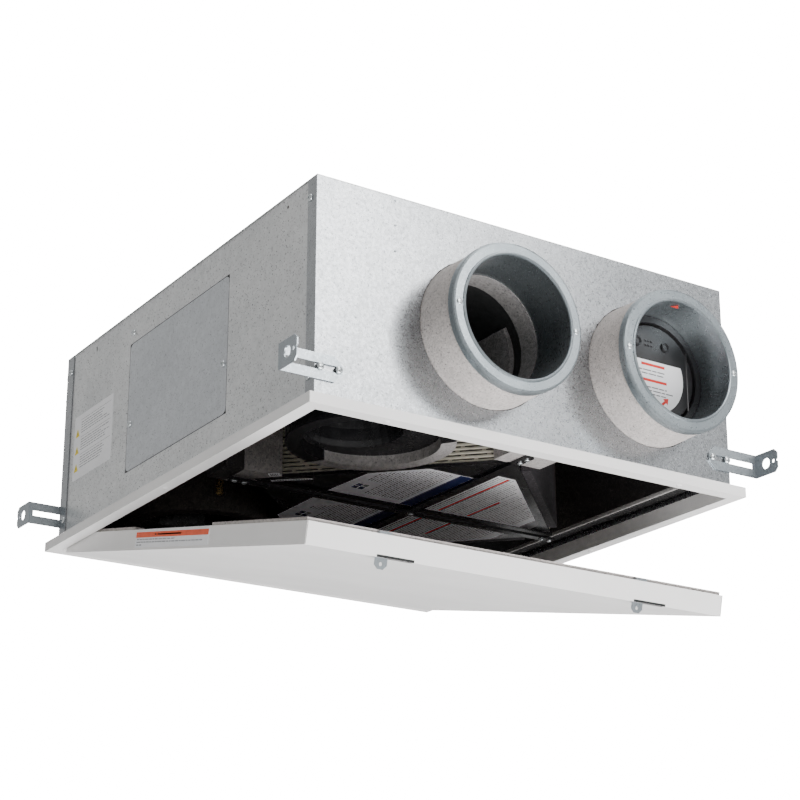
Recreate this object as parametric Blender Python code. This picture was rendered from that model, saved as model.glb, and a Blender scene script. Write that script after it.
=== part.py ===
"""Heat recovery unit for a ceiling: casing, ceiling flange, door, duct ports, fans, core and hanging brackets.

Frame: metres, +Z up. The origin is the middle of the ceiling cut-out, on the ceiling plane (the flange's top face).
-Y is the front, the side of the duct ports nearest the reader. +X is to the right of somebody facing the front.
"""

import math

import bmesh
import bpy
from mathutils import Matrix, Vector

# Casing
HALF_WIDTH = 0.2585
HALF_DEPTH = 0.2930
HEIGHT = 0.2290
SHEET = 0.0010
GAP = 0.0003
PANEL_BOTTOM = -0.0097
PANEL_TOP = HEIGHT - SHEET - GAP
RETURN_WIDTH = 0.0170

# Ceiling flange: offsets outward from the casing's outer face, and heights
FLANGE_OUT = 0.0115
FLANGE_DROP = 0.0110
LIP_INSIDE = 0.0034
LIP_THICK = 0.0008
LIP_TOP = 0.0060
MITRE_GAP = 0.0002

# Insulation
LINER = 0.0199
LINER_BOTTOM = 0.0165
CORE_BOTTOM = 0.0120
LINER_ROOF = 0.2080

# Duct ports
PORT_XS = (-0.0615, 0.1485)
PORT_Z = 0.1050
PORT_PROUD = 0.0580
RING_OUTER = 0.0777
RING_SKIRT = 0.0110
RING_RECESS = 0.0016
RING_LIP = 0.0018
COLLAR_EASE = 0.0005
COLLAR_STEP = 0.0010
RING_EASE = 0.3
RING_ROUND = 0.0025
SLEEVE_INNER = 0.0635
SLEEVE_LENGTH = 0.0560
COLLAR_OUTER = 0.0762
COLLAR_ROOT = 0.0780
PANEL_HOLE = 0.0790
ROUND_STEPS = 32

# Damper in the front right port: its depth behind the ring's face, and its hinge's distance from the middle
DAMPER_DEPTH = 0.0480
DAMPER_RADIUS = 0.0530
DAMPER_HINGE = 0.0455
DAMPER_RING_INNER = 0.0560
DAMPER_RING_HALF = 0.0030
DAMPER_PIN = 0.0016
DAMPER_PIN_REACH = 0.0380

# Core: a square prism standing on its corner
CORE_X = 0.0345
CORE_Y = -0.0120
CORE_REACH = 0.2000
CORE_PLATE = 0.0030
CORE_RIB = 0.42
CORE_GROOVE = 0.0100
CORE_EDGE = 0.0020
CORE_PITCH = 0.0063
HOLDER_PLAY = 0.0007
HOLDER_BACK = 0.0005
HOLDER_HALF = 0.0220
END_HOLDER_HALF = 0.0360
END_HOLDER_GRIP = 0.0075
PIER_LEFT = -0.2117
PIER_SINK = 0.0020
PIER_RIGHT = -0.1905
BAR_FRONT = -0.2360
BAR_BACK = 0.2120
BAR_LEFT = -0.1960
BAR_RIGHT = 0.2350
BAR_HALF = 0.0050
BAR_THICK = 0.0030
FILTER_THICK = 0.0100
FILTER_HALF = 0.1080

# Fans: the scroll's round cavity and the impeller's axis, which is off its centre
SCROLL_X = -0.1290
SCROLL_Y = 0.1870
SCROLL_INNER = 0.0710
SCROLL_WALL = 0.0160
SCROLL_BOTTOM = 0.0080
SCROLL_STEP = 0.0360
SCROLL_RIGHT = 0.0100
SCROLL_HIP_Y = 0.2050
SCROLL_WAIST_Y = 0.1600
SCROLL_WAIST_IN = 0.0450
SCROLL_TURN = math.radians(50)
SCROLL_STEPS = 16
SCROLL_LAP = 0.0040
SCROLL_DUCT_IN = 0.0350
SCROLL_DUCT_HALF = 0.0450
FAN_X = -0.1436
FAN_Y = 0.1774
CAVITY_TOP = 0.1650
INLET_RADIUS = 0.0450
INLET_Z = 0.0190
INLET_TOP = 0.0540
INLET_THICK = 0.0030
# Each pair is the wall's distance outside the throat, and its share of the way up
INLET_UNDERSIDE = ((0.0055, 0.08), (0.0035, 0.25), (0.0005, 0.60))
INLET_UPPERSIDE = ((0.0027, 0.65), (0.0055, 0.30))
INLET_LIP_OUTER = 0.0040
INLET_LIP_INNER = 0.0020
INLET_FOOT = (0.0065, 0.08)
INLET_PLAY = 0.0005
IMPELLER_RADIUS = 0.0500
IMPELLER_BOTTOM = 0.0600
IMPELLER_TOP = 0.1280
IMPELLER_PLATE = 0.0030
BLADE_DEPTH = 0.0080
HUB_RADIUS = 0.0100
HUB_DEPTH = 0.0100
SHAFT_RADIUS = 0.0040
SHAFT_DEPTH = 0.0120
MOTOR_RADIUS = 0.0340
MOTOR_CHAMFER = 0.0030
MOTOR_CLEARANCE = 0.0020

# Air sensor: radius and height of each corner, from the top down
SENSOR_PLACE = (-0.1550, 0.0880, 0.0)
SENSOR_STEM = 0.0022
SENSOR_BODY = ((0.0022, 0.0420), (0.0045, 0.0400), (0.0045, 0.0240), (0.0030, 0.0220))

# Cable bushings: radius and distance out of the back panel of each corner
BUSHING_X = -0.2470
BUSHINGS = (("cable_bushing_upper", 0.2070), ("cable_bushing_lower", 0.1780))
BUSHING_PROFILE = ((0.0055, 0.0), (0.0085, 0.0), (0.0085, 0.0080), (0.0070, 0.0110), (0.0055, 0.0110))

# Door, given in its closed place and turned about the hinge pin
HINGE_Y = 0.2825
HINGE_Z = -0.0090
DOOR_OPEN = math.radians(12.43)
DOOR_HALF = 0.2540
DOOR_FRONT = -0.2868
DOOR_BACK = 0.2765
DOOR_BOTTOM = -0.0145
DOOR_RIM = 0.0224
DOOR_FOAM_PROUD = 0.0035
DOOR_FOAM_BORDER = 0.0113
LABEL_GAP_FRONT = -0.0900
LABEL_GAP_BACK = 0.0960

# Hinges: lift-off pairs, each leaf a sheet rolled round the pin
HINGE_XS = (-0.1600, 0.1600)
KNUCKLE_OUTER = 0.0032
KNUCKLE_INNER = 0.0018
KNUCKLE_LENGTH = 0.0145
PIN_RADIUS = 0.0015
LEAF_TOP = 0.0145

# Latches: the slot's middle, and the tab at the slot's left end
LATCH_XS = (-0.1553, 0.1560)
LATCH_PLAY = 0.0009
LATCH_SLOT = 0.0430
LATCH_TAB = 0.0140
LATCH_DROP = 0.0110
LATCH_PLANE = -0.2842
LATCH_FINGER = -0.2888
LATCH_HOLE = 0.0020
LATCH_HOLE_UP = 0.0050
LATCH_CORNER = 0.0040
LATCH_FINGER_THICK = 0.0020
KEEPER_START = 0.0040
KEEPER_DROP = 0.0015
KEEPER_TOP = 0.0002
KEEPER_OUT = 0.0023

# How far a cutter passes the faces it cuts
CUT_PAST = 0.0010
CUT_DEEP = 0.0040
CUT_FAR = 0.0100

# Hanging brackets
BRACKET_THICK = 0.0015
SLOT_BEFORE_SCREW = 0.0024
SLOT_BEFORE_BEND = 0.0060
EAR_HOLE_REACH = 0.0165
EAR_SMALL_REACH = 0.0275
EAR_NOTCH = 0.0025
EAR_CHAMFER = 0.0045
TIP_CHAMFER = 0.0090
BRACKET_Z = 0.0305
BRACKET_HALF = 0.0130
BRACKET_TIP = 0.2285
BRACKET_BEND = 0.2975
EAR_REACH = 0.0340
EAR_HOLE = 0.0060
EAR_SMALL_HOLE = 0.0022
SLOT_HALF = 0.0032
BRACKET_SCREW_XS = (0.2334, 0.2535)

# Access cover in the left panel
COVER_FRONT = -0.1150
COVER_BACK = 0.1180
COVER_LOW = 0.0380
COVER_HIGH = 0.1890
COVER_CORNER = 0.0060
COVER_SLIT = 0.0009

# Control box behind the access cover
CONTROL_FRONT = -0.1080
CONTROL_BACK = 0.1110
CONTROL_LOW = 0.0440
CONTROL_HIGH = 0.1830
CONTROL_OUT = -0.2559
CONTROL_IN = -0.2120
BOARD_STAND = 0.0040
BOARD_THICK = 0.0016
BOARD_FRONT = -0.0900
BOARD_BACK = 0.0800
BOARD_LOW = 0.0600
BOARD_HIGH = 0.1650
BLOCK_SINK = 0.0010

COLOURS = {
    "galvanised": (0.62, 0.64, 0.65, 0.42, 0.9),
    "zinc": (0.66, 0.70, 0.73, 0.30, 1.0),
    "white_paint": (0.80, 0.79, 0.78, 0.45, 0.0),
    "speckled_foam": (0.48, 0.45, 0.44, 0.90, 0.0),
    "black_foam": (0.03, 0.03, 0.035, 0.80, 0.0),
    "black_gloss": (0.015, 0.015, 0.016, 0.18, 0.0),
    "black_plastic": (0.03, 0.03, 0.03, 0.40, 0.0),
    "cream_plastic": (0.72, 0.69, 0.60, 0.60, 0.0),
    "filter_media": (0.80, 0.80, 0.78, 0.95, 0.0),
    "board_green": (0.05, 0.22, 0.10, 0.50, 0.0),
    "brass": (0.70, 0.52, 0.22, 0.30, 1.0),
}


def clear_scene():
    """Removes whatever the open file holds."""
    for old in list(bpy.data.objects):
        bpy.data.objects.remove(old, do_unlink=True)


def material(name, colour):
    """A Principled material of its own for one sub-part."""
    red, green, blue, roughness, metallic = COLOURS[colour]
    made = bpy.data.materials.new(name + "_material")
    made.use_nodes = True
    shader = made.node_tree.nodes["Principled BSDF"]
    shader.inputs["Base Color"].default_value = (red, green, blue, 1.0)
    shader.inputs["Roughness"].default_value = roughness
    shader.inputs["Metallic"].default_value = metallic
    return made


def finish_object(name, bm, colour, parent=None, origin=(0, 0, 0), smooth=False):
    """Turns a closed bmesh into an object. Its points are given from origin, where the object is placed."""
    bmesh.ops.recalc_face_normals(bm, faces=bm.faces)
    if bm.calc_volume(signed=True) < 0:
        bmesh.ops.reverse_faces(bm, faces=bm.faces)
    mesh = bpy.data.meshes.new(name)
    bm.to_mesh(mesh)
    bm.free()
    made = bpy.data.objects.new(name, mesh)
    bpy.context.scene.collection.objects.link(made)
    made.location = origin
    if parent is not None:
        made.parent = parent
    if colour is not None:
        mesh.materials.append(material(name, colour))
    if smooth:
        mesh.shade_smooth()
        mesh.set_sharp_from_angle(angle=math.radians(35))
    return made


def axis_empty(name, place, turn=0.0):
    """An empty on a joint's axis, turned about X."""
    empty = bpy.data.objects.new(name, None)
    bpy.context.scene.collection.objects.link(empty)
    empty.location = place
    empty.rotation_euler = (turn, 0.0, 0.0)
    return empty


def combine(target, other, operation):
    """Adds an exact Boolean with a guide object, which stays in the file and isn't part of the model."""
    other.hide_render = True
    other.display_type = "WIRE"
    if target.parent is not None:
        other.parent = target.parent
    boolean = target.modifiers.new(operation.lower() + "_" + other.name, "BOOLEAN")
    boolean.operation = operation
    boolean.solver = "EXACT"
    boolean.object = other


def cut(target, cutter):
    """Subtracts the cutter."""
    combine(target, cutter, "DIFFERENCE")


def join(target, added):
    """Unites the added shape, which overlaps the target, into one body."""
    combine(target, added, "UNION")


def add_prism(bm, outline, low, high, axis="Z"):
    """Extrudes a flat outline along an axis. Outline points are (x, y) for Z, (x, z) for Y and (y, z) for X."""
    place = {
        "Z": lambda a, b, c: (a, b, c),
        "Y": lambda a, b, c: (a, c, b),
        "X": lambda a, b, c: (c, a, b),
    }[axis]
    ends = [[bm.verts.new(place(a, b, c)) for a, b in outline] for c in (low, high)]
    count = len(outline)
    bm.faces.new(ends[0])
    bm.faces.new(ends[1])
    for i in range(count):
        j = (i + 1) % count
        bm.faces.new((ends[0][i], ends[0][j], ends[1][j], ends[1][i]))


def add_box(bm, low, high):
    """A box between two corners."""
    outline = [(low[0], low[1]), (high[0], low[1]), (high[0], high[1]), (low[0], high[1])]
    add_prism(bm, outline, low[2], high[2])


def circle(radius, centre=(0.0, 0.0), steps=ROUND_STEPS):
    """Points round a circle."""
    turns = [2 * math.pi * i / steps for i in range(steps)]
    return [(centre[0] + radius * math.cos(t), centre[1] + radius * math.sin(t)) for t in turns]


def add_loft(bm, loops, closed):
    """Joins loops of equal length in order. A closed loft is a ring; an open one gets a cap at each end."""
    rows = [[bm.verts.new(p) for p in loop] for loop in loops]
    count = len(rows[0])
    pairs = list(zip(rows, rows[1:]))
    if closed:
        pairs.append((rows[-1], rows[0]))
    else:
        bm.faces.new(rows[0])
        bm.faces.new(rows[-1])
    for first, second in pairs:
        for i in range(count):
            j = (i + 1) % count
            bm.faces.new((first[i], first[j], second[j], second[i]))


def add_turned(bm, profile, axis, centre, closed=True, steps=ROUND_STEPS):
    """Turns a profile of (radius, place along the axis) about an axis through centre."""
    loops = []
    for radius, along in profile:
        flat = circle(radius, steps=steps)
        if axis == "Z":
            loops.append([(centre[0] + a, centre[1] + b, centre[2] + along) for a, b in flat])
        elif axis == "Y":
            loops.append([(centre[0] + a, centre[1] + along, centre[2] + b) for a, b in flat])
        else:
            loops.append([(centre[0] + along, centre[1] + a, centre[2] + b) for a, b in flat])
    add_loft(bm, loops, closed)


def box_part(name, low, high, colour, parent=None, origin=(0, 0, 0)):
    """One box as a part of its own."""
    bm = bmesh.new()
    add_box(bm, low, high)
    return finish_object(name, bm, colour, parent, origin)


def round_cutter(name, radius, axis, centre, reach, steps=ROUND_STEPS):
    """A plain cylinder, centred on a point, that reaches the same way both sides."""
    bm = bmesh.new()
    add_turned(bm, [(radius, -reach), (radius, reach)], axis, centre, closed=False, steps=steps)
    return finish_object(name, bm, None)


def top_panel():
    box_part("top_panel", (-HALF_WIDTH, -HALF_DEPTH, HEIGHT - SHEET), (HALF_WIDTH, HALF_DEPTH, HEIGHT), "galvanised")


def end_panel(name, side):
    """Front (side -1) or back (+1) panel: a sheet with side returns and two duct holes."""
    outer = side * HALF_DEPTH
    inner = side * (HALF_DEPTH - SHEET)
    edge = side * (HALF_DEPTH - RETURN_WIDTH)
    inside = HALF_WIDTH - SHEET
    outline = [
        (-HALF_WIDTH, outer),
        (HALF_WIDTH, outer),
        (HALF_WIDTH, edge),
        (inside, edge),
        (inside, inner),
        (-inside, inner),
        (-inside, edge),
        (-HALF_WIDTH, edge),
    ]
    bm = bmesh.new()
    add_prism(bm, outline, PANEL_BOTTOM, PANEL_TOP)
    panel = finish_object(name, bm, "galvanised")
    holes = bmesh.new()
    for x in PORT_XS:
        add_turned(holes, [(PANEL_HOLE, -CUT_FAR), (PANEL_HOLE, CUT_FAR)], "Y", (x, outer, PORT_Z), closed=False)
    cut(panel, finish_object(name + "_holes", holes, None))
    return panel


def side_panel(name, side):
    """Left (side -1) or right (+1) panel, inside the returns of the end panels."""
    outer = HALF_WIDTH - SHEET - GAP
    inner = outer - SHEET
    reach = HALF_DEPTH - SHEET - GAP
    low_x, high_x = sorted((side * outer, side * inner))
    return box_part(name, (low_x, -reach, PANEL_BOTTOM), (high_x, reach, PANEL_TOP), "galvanised")


def left_panel():
    """The left panel has a window for the access cover."""
    panel = side_panel("left_panel", -1)
    low = (-HALF_WIDTH - CUT_FAR, COVER_FRONT - COVER_SLIT, COVER_LOW - COVER_SLIT)
    high = (-HALF_WIDTH + CUT_FAR, COVER_BACK + COVER_SLIT, COVER_HIGH + COVER_SLIT)
    cut(panel, box_part("left_panel_window", low, high, None))


def access_cover():
    """Flush cover, with rounded corners, in the plane of the left panel."""
    corner = COVER_CORNER
    outline = []
    centres = (
        (COVER_BACK - corner, COVER_HIGH - corner, 0),
        (COVER_FRONT + corner, COVER_HIGH - corner, 1),
        (COVER_FRONT + corner, COVER_LOW + corner, 2),
        (COVER_BACK - corner, COVER_LOW + corner, 3),
    )
    for y, z, quarter in centres:
        for step in range(4):
            turn = (quarter + step / 3) * math.pi / 2
            outline.append((y + corner * math.cos(turn), z + corner * math.sin(turn)))
    bm = bmesh.new()
    outer = -(HALF_WIDTH - SHEET - GAP)
    add_prism(bm, outline, outer, outer + SHEET, axis="X")
    finish_object("access_cover", bm, "galvanised")


def flange_strip(name, side, along):
    """One strip of the ceiling flange, mitred at its ends. along is the axis that it runs along."""
    strip = 0.0010
    profile = [
        (GAP, 0.0),
        (FLANGE_OUT, 0.0),
        (FLANGE_OUT, -FLANGE_DROP),
        (-LIP_INSIDE, -FLANGE_DROP),
        (-LIP_INSIDE, LIP_TOP),
        (-LIP_INSIDE + LIP_THICK, LIP_TOP),
        (-LIP_INSIDE + LIP_THICK, -FLANGE_DROP + strip),
        (FLANGE_OUT - strip, -FLANGE_DROP + strip),
        (FLANGE_OUT - strip, -strip),
        (GAP, -strip),
    ]
    across, length = (HALF_DEPTH, HALF_WIDTH) if along == "X" else (HALF_WIDTH, HALF_DEPTH)
    loops = []
    for end in (-1, 1):
        loop = []
        for out, z in profile:
            far = end * (length + out - MITRE_GAP)
            near = side * (across + out)
            loop.append((far, near, z) if along == "X" else (near, far, z))
        loops.append(loop)
    bm = bmesh.new()
    add_loft(bm, loops, closed=False)
    return finish_object(name, bm, "white_paint")


def ceiling_flange():
    """Four strips. The front one has two keepers on its lip, which the latches' fingers slide over."""
    front = flange_strip("flange_front", -1, "X")
    keepers = bmesh.new()
    lip = -HALF_DEPTH + LIP_INSIDE
    for x in LATCH_XS:
        low = (x + KEEPER_START, lip - LIP_THICK / 2, LIP_TOP - KEEPER_DROP)
        add_box(keepers, low, (x + LATCH_SLOT / 2, lip + KEEPER_OUT, LIP_TOP - KEEPER_TOP))
    join(front, finish_object("latch_keepers", keepers, None))
    flange_strip("flange_back", 1, "X")
    flange_strip("flange_left", -1, "Y")
    flange_strip("flange_right", 1, "Y")


def liner():
    """Moulded insulation: a roof slab and four walls. The end walls have the duct bores."""
    outer_x = HALF_WIDTH - 2 * SHEET - 2 * GAP
    outer_y = HALF_DEPTH - SHEET - 2 * GAP
    inner_x = outer_x - LINER
    inner_y = outer_y - LINER
    wall_top = LINER_ROOF - GAP
    box_part("liner_top", (-outer_x, -outer_y, LINER_ROOF), (outer_x, outer_y, PANEL_TOP), "black_foam")
    for name, side in (("liner_front", -1), ("liner_back", 1)):
        low_y, high_y = sorted((side * inner_y, side * outer_y))
        wall = box_part(name, (-outer_x, low_y, LINER_BOTTOM), (outer_x, high_y, wall_top), "black_foam")
        bores = bmesh.new()
        for x in PORT_XS:
            centre = (x, side * (outer_y - LINER / 2), PORT_Z)
            add_turned(bores, [(SLEEVE_INNER, -0.03), (SLEEVE_INNER, 0.03)], "Y", centre, closed=False)
        cut(wall, finish_object(name + "_bores", bores, None))
    for name, side in (("liner_left", -1), ("liner_right", 1)):
        low_x, high_x = sorted((side * inner_x, side * outer_x))
        low = (low_x, -inner_y + GAP, LINER_BOTTOM)
        wall = box_part(name, low, (high_x, inner_y - GAP, wall_top), "black_foam")
        if side < 0:
            window_low = (low_x - CUT_FAR, CONTROL_FRONT - GAP, CONTROL_LOW - GAP)
            window_high = (high_x + CUT_FAR, CONTROL_BACK + GAP, CONTROL_HIGH + GAP)
            cut(wall, box_part("liner_left_window", window_low, window_high, None))
            pier_low = (PIER_LEFT, CORE_Y - HOLDER_HALF, CORE_BOTTOM)
            pier = box_part("liner_left_pier", pier_low, (PIER_RIGHT, CORE_Y + HOLDER_HALF, wall_top), None)
            foot_low = (high_x - PIER_SINK, CORE_Y - HOLDER_HALF + GAP, LINER_BOTTOM + GAP)
            foot_high = (PIER_RIGHT - GAP, CORE_Y + HOLDER_HALF - GAP, CONTROL_LOW - GAP)
            join(pier, box_part("liner_left_foot", foot_low, foot_high, None))
            join(wall, pier)


def control_box():
    """A sheet tray that opens towards the access cover, with the board, its parts and a terminal block inside."""
    low = (CONTROL_OUT, CONTROL_FRONT, CONTROL_LOW)
    tray = box_part("control_box", low, (CONTROL_IN, CONTROL_BACK, CONTROL_HIGH), "galvanised")
    hollow_low = (CONTROL_OUT - CUT_FAR, CONTROL_FRONT + SHEET, CONTROL_LOW + SHEET)
    hollow_high = (CONTROL_IN - SHEET, CONTROL_BACK - SHEET, CONTROL_HIGH - SHEET)
    cut(tray, box_part("control_box_hollow", hollow_low, hollow_high, None))

    board_face = CONTROL_IN - SHEET - GAP - BOARD_STAND
    board_low = (board_face - BOARD_THICK, BOARD_FRONT, BOARD_LOW)
    board = box_part("control_board", board_low, (board_face, BOARD_BACK, BOARD_HIGH), "board_green")
    blocks = (
        (-0.075, 0.075, 0.030, 0.028, 0.018),
        (-0.030, 0.080, 0.022, 0.034, 0.012),
        (0.008, 0.120, 0.026, 0.030, 0.020),
        (0.056, 0.070, 0.016, 0.080, 0.016),
    )
    bm = bmesh.new()
    for y, z, wide, tall, deep in blocks:
        add_box(bm, (board_face - BLOCK_SINK - deep, y, z), (board_face - BLOCK_SINK, y + wide, z + tall))
    join(board, finish_object("control_board_blocks", bm, None))


def diamond(reach):
    """The core's plan outline, a square with a corner pointing along each axis."""
    return [(CORE_X + reach, CORE_Y), (CORE_X, CORE_Y + reach), (CORE_X - reach, CORE_Y), (CORE_X, CORE_Y - reach)]


def core():
    """Stacked plates between two end plates."""
    bottom = CORE_BOTTOM
    top = LINER_ROOF - GAP
    for name, low in (("core_bottom_plate", bottom), ("core_top_plate", top - CORE_PLATE)):
        bm = bmesh.new()
        add_prism(bm, diamond(CORE_REACH), low, low + CORE_PLATE)
        finish_object(name, bm, "black_gloss")
    low = bottom + CORE_PLATE + GAP
    high = top - CORE_PLATE - GAP
    count = int((high - low) / CORE_PITCH)
    pitch = (high - low) / count
    loops = []
    for level in range(count):
        z = low + level * pitch
        rib = CORE_RIB * pitch
        groove = CORE_REACH - CORE_GROOVE
        loops.append([(x, y, z) for x, y in diamond(CORE_REACH - CORE_EDGE)])
        loops.append([(x, y, z + rib) for x, y in diamond(CORE_REACH - CORE_EDGE)])
        if level < count - 1:
            loops.append([(x, y, z + rib) for x, y in diamond(groove)])
            loops.append([(x, y, z + pitch) for x, y in diamond(groove)])
    bm = bmesh.new()
    add_loft(bm, loops, closed=False)
    finish_object("core_plates", bm, "cream_plastic")


def corner_holder(name, direction, length, grip, left, right):
    """Foam block with a notch, grip deep, for one upright corner of the core.
    left and right are its reach to either side of the corner, seen from the core."""
    notch = CORE_REACH + HOLDER_PLAY
    flat = [(notch, 0.0), (notch - grip, grip)]
    if left > grip:
        flat.append((notch - grip, left))
    flat.append((length, left))
    flat.append((length, -right))
    if right > grip:
        flat.append((notch - grip, -right))
    flat.append((notch - grip, -grip))
    dx, dy = direction
    outline = [(CORE_X + a * dx - b * dy, CORE_Y + a * dy + b * dx) for a, b in flat]
    bm = bmesh.new()
    add_prism(bm, outline, CORE_BOTTOM, LINER_ROOF - GAP)
    finish_object(name, bm, "speckled_foam")


def corner_holders():
    inner_y = HALF_DEPTH - SHEET - 2 * GAP - LINER
    at_pier = CORE_X - PIER_RIGHT - GAP
    at_front = inner_y + CORE_Y - GAP
    at_back = inner_y - CORE_Y - GAP
    near = CORE_X - SCROLL_RIGHT - 2 * GAP
    corner_holder("corner_holder_left", (-1, 0), at_pier, HOLDER_HALF, HOLDER_HALF, HOLDER_HALF)
    corner_holder("corner_holder_front", (0, -1), at_front, END_HOLDER_GRIP, END_HOLDER_HALF, near)
    corner_holder("corner_holder_back", (0, 1), at_back, END_HOLDER_GRIP, near, END_HOLDER_HALF)


def filters():
    """A flat filter against each inlet face of the core, on the right-hand side."""
    for name, side in (("filter_front", -1), ("filter_back", 1)):
        outward = Vector((1, side)).normalized()
        along = Vector((-outward.y, outward.x))
        face = CORE_REACH / math.sqrt(2)
        centre = Vector((CORE_X, CORE_Y)) + outward * (face + HOLDER_BACK)
        corners = (
            centre - along * FILTER_HALF,
            centre + along * FILTER_HALF,
            centre + along * FILTER_HALF + outward * FILTER_THICK,
            centre - along * FILTER_HALF + outward * FILTER_THICK,
        )
        bm = bmesh.new()
        add_prism(bm, [(c.x, c.y) for c in corners], CORE_BOTTOM, LINER_ROOF - GAP)
        finish_object(name, bm, "filter_media")


def retaining_bars():
    """Two bars under the core, one passing below the other."""
    upper = CORE_BOTTOM - GAP
    low = (CORE_X - BAR_HALF, BAR_FRONT, upper - BAR_THICK)
    box_part("retaining_bar_deep", low, (CORE_X + BAR_HALF, BAR_BACK, upper), "black_gloss")
    lower = upper - BAR_THICK - GAP
    low = (BAR_LEFT, CORE_Y - BAR_HALF, lower - BAR_THICK)
    box_part("retaining_bar_wide", low, (BAR_RIGHT, CORE_Y + BAR_HALF, lower), "black_gloss")


def scroll(name, side):
    """Foam scroll block: a round wall round the impeller, and a duct to the port in the end wall.
    The duct's side of the block stops higher up than the round wall."""
    centre = (SCROLL_X, side * SCROLL_Y)
    outer = SCROLL_INNER + SCROLL_WALL
    wall = HALF_DEPTH - SHEET - 3 * GAP - LINER
    outline = []
    start = math.radians(90)
    sweep = math.radians(180)
    for i in range(SCROLL_STEPS + 1):
        turn = start + sweep * i / SCROLL_STEPS
        outline.append((centre[0] + outer * math.cos(turn), centre[1] - side * outer * math.sin(turn)))
    outline.append((centre[0], side * wall))
    outline = [p for p in outline if side * p[1] <= wall]
    outline.append((SCROLL_RIGHT, side * wall))
    outline.append((SCROLL_RIGHT, side * SCROLL_HIP_Y))
    outline.append((SCROLL_RIGHT - SCROLL_WAIST_IN, side * SCROLL_WAIST_Y))
    last_x = centre[0] + outer * math.cos(SCROLL_TURN)
    outline.append((last_x, side * (SCROLL_Y - outer * math.sin(SCROLL_TURN))))
    bm = bmesh.new()
    add_prism(bm, outline, SCROLL_STEP, LINER_ROOF - GAP)
    block = finish_object(name, bm, "speckled_foam")
    foot = circle(outer - GAP, centre, ROUND_STEPS)
    foot = [(x, side * min(side * y, wall - GAP)) for x, y in foot]
    bm = bmesh.new()
    add_prism(bm, foot, SCROLL_BOTTOM, SCROLL_STEP + SCROLL_LAP)
    join(block, finish_object(name + "_foot", bm, None))
    hollow = round_cutter(name + "_cavity", SCROLL_INNER, "Z", (centre[0], centre[1], 0.0), CAVITY_TOP)
    cut(block, hollow)
    duct = bmesh.new()
    span = [(SLEEVE_INNER, -SCROLL_DUCT_HALF), (SLEEVE_INNER, SCROLL_DUCT_HALF)]
    add_turned(duct, span, "Y", (PORT_XS[0], side * (wall - SCROLL_DUCT_IN), PORT_Z), closed=False)
    cut(block, finish_object(name + "_duct", duct, None))


def inlet_ring(name, side):
    """Black ring that closes the scroll's mouth. Its bell is round the impeller's axis."""
    steps = ROUND_STEPS
    outer = circle(SCROLL_INNER - INLET_PLAY, (SCROLL_X, side * SCROLL_Y), steps)

    def bell(radius, z):
        return [(x, y, z) for x, y in circle(radius, (FAN_X, side * FAN_Y), steps)]

    rise = INLET_TOP - INLET_Z
    loops = [
        [(x, y, INLET_Z) for x, y in outer],
        *[bell(INLET_RADIUS + out, INLET_Z + share * rise) for out, share in INLET_UNDERSIDE],
        bell(INLET_RADIUS - INLET_LIP_OUTER, INLET_TOP),
        bell(INLET_RADIUS - INLET_LIP_INNER, INLET_TOP),
        *[bell(INLET_RADIUS + out, INLET_Z + share * rise) for out, share in INLET_UPPERSIDE],
        bell(INLET_RADIUS + INLET_FOOT[0], INLET_Z + INLET_THICK + INLET_FOOT[1] * rise),
        [(x, y, INLET_Z + INLET_THICK) for x, y in outer],
    ]
    bm = bmesh.new()
    add_loft(bm, loops, closed=True)
    finish_object(name, bm, "black_gloss", smooth=True)


def fan(end, side):
    """Motor with its shaft, and the impeller that turns on it."""
    axis = (FAN_X, side * FAN_Y, 0.0)
    bm = bmesh.new()
    motor_low = IMPELLER_TOP + MOTOR_CLEARANCE
    profile = [
        (MOTOR_RADIUS, CAVITY_TOP - GAP),
        (MOTOR_RADIUS, motor_low + MOTOR_CHAMFER),
        (MOTOR_RADIUS - MOTOR_CHAMFER, motor_low),
        (SHAFT_RADIUS, motor_low),
        (SHAFT_RADIUS, IMPELLER_TOP - SHAFT_DEPTH),
    ]
    add_turned(bm, profile, "Z", axis, closed=False, steps=24)
    finish_object("motor_" + end, bm, "zinc", smooth=True)

    bore = SHAFT_RADIUS + GAP
    profile = [
        (bore, IMPELLER_TOP),
        (IMPELLER_RADIUS, IMPELLER_TOP),
        (IMPELLER_RADIUS, IMPELLER_BOTTOM),
        (IMPELLER_RADIUS - BLADE_DEPTH, IMPELLER_BOTTOM),
        (IMPELLER_RADIUS - BLADE_DEPTH, IMPELLER_TOP - IMPELLER_PLATE),
        (HUB_RADIUS, IMPELLER_TOP - IMPELLER_PLATE),
        (HUB_RADIUS, IMPELLER_TOP - HUB_DEPTH),
        (bore, IMPELLER_TOP - HUB_DEPTH),
    ]
    bm = bmesh.new()
    add_turned(bm, profile, "Z", (0, 0, 0), closed=True, steps=24)
    finish_object("impeller_" + end, bm, "black_plastic", origin=axis, smooth=True)


def fans():
    for end, side in (("front", -1), ("back", 1)):
        scroll("fan_scroll_" + end, side)
        inlet_ring("inlet_ring_" + end, side)
        fan(end, side)


def air_sensor():
    """Small brass-bodied sensor on a stem, hanging beside the back scroll."""
    profile = [(SENSOR_STEM, LINER_ROOF - GAP), *SENSOR_BODY]
    bm = bmesh.new()
    add_turned(bm, profile, "Z", SENSOR_PLACE, closed=False, steps=12)
    finish_object("air_sensor", bm, "brass", smooth=True)


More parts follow.
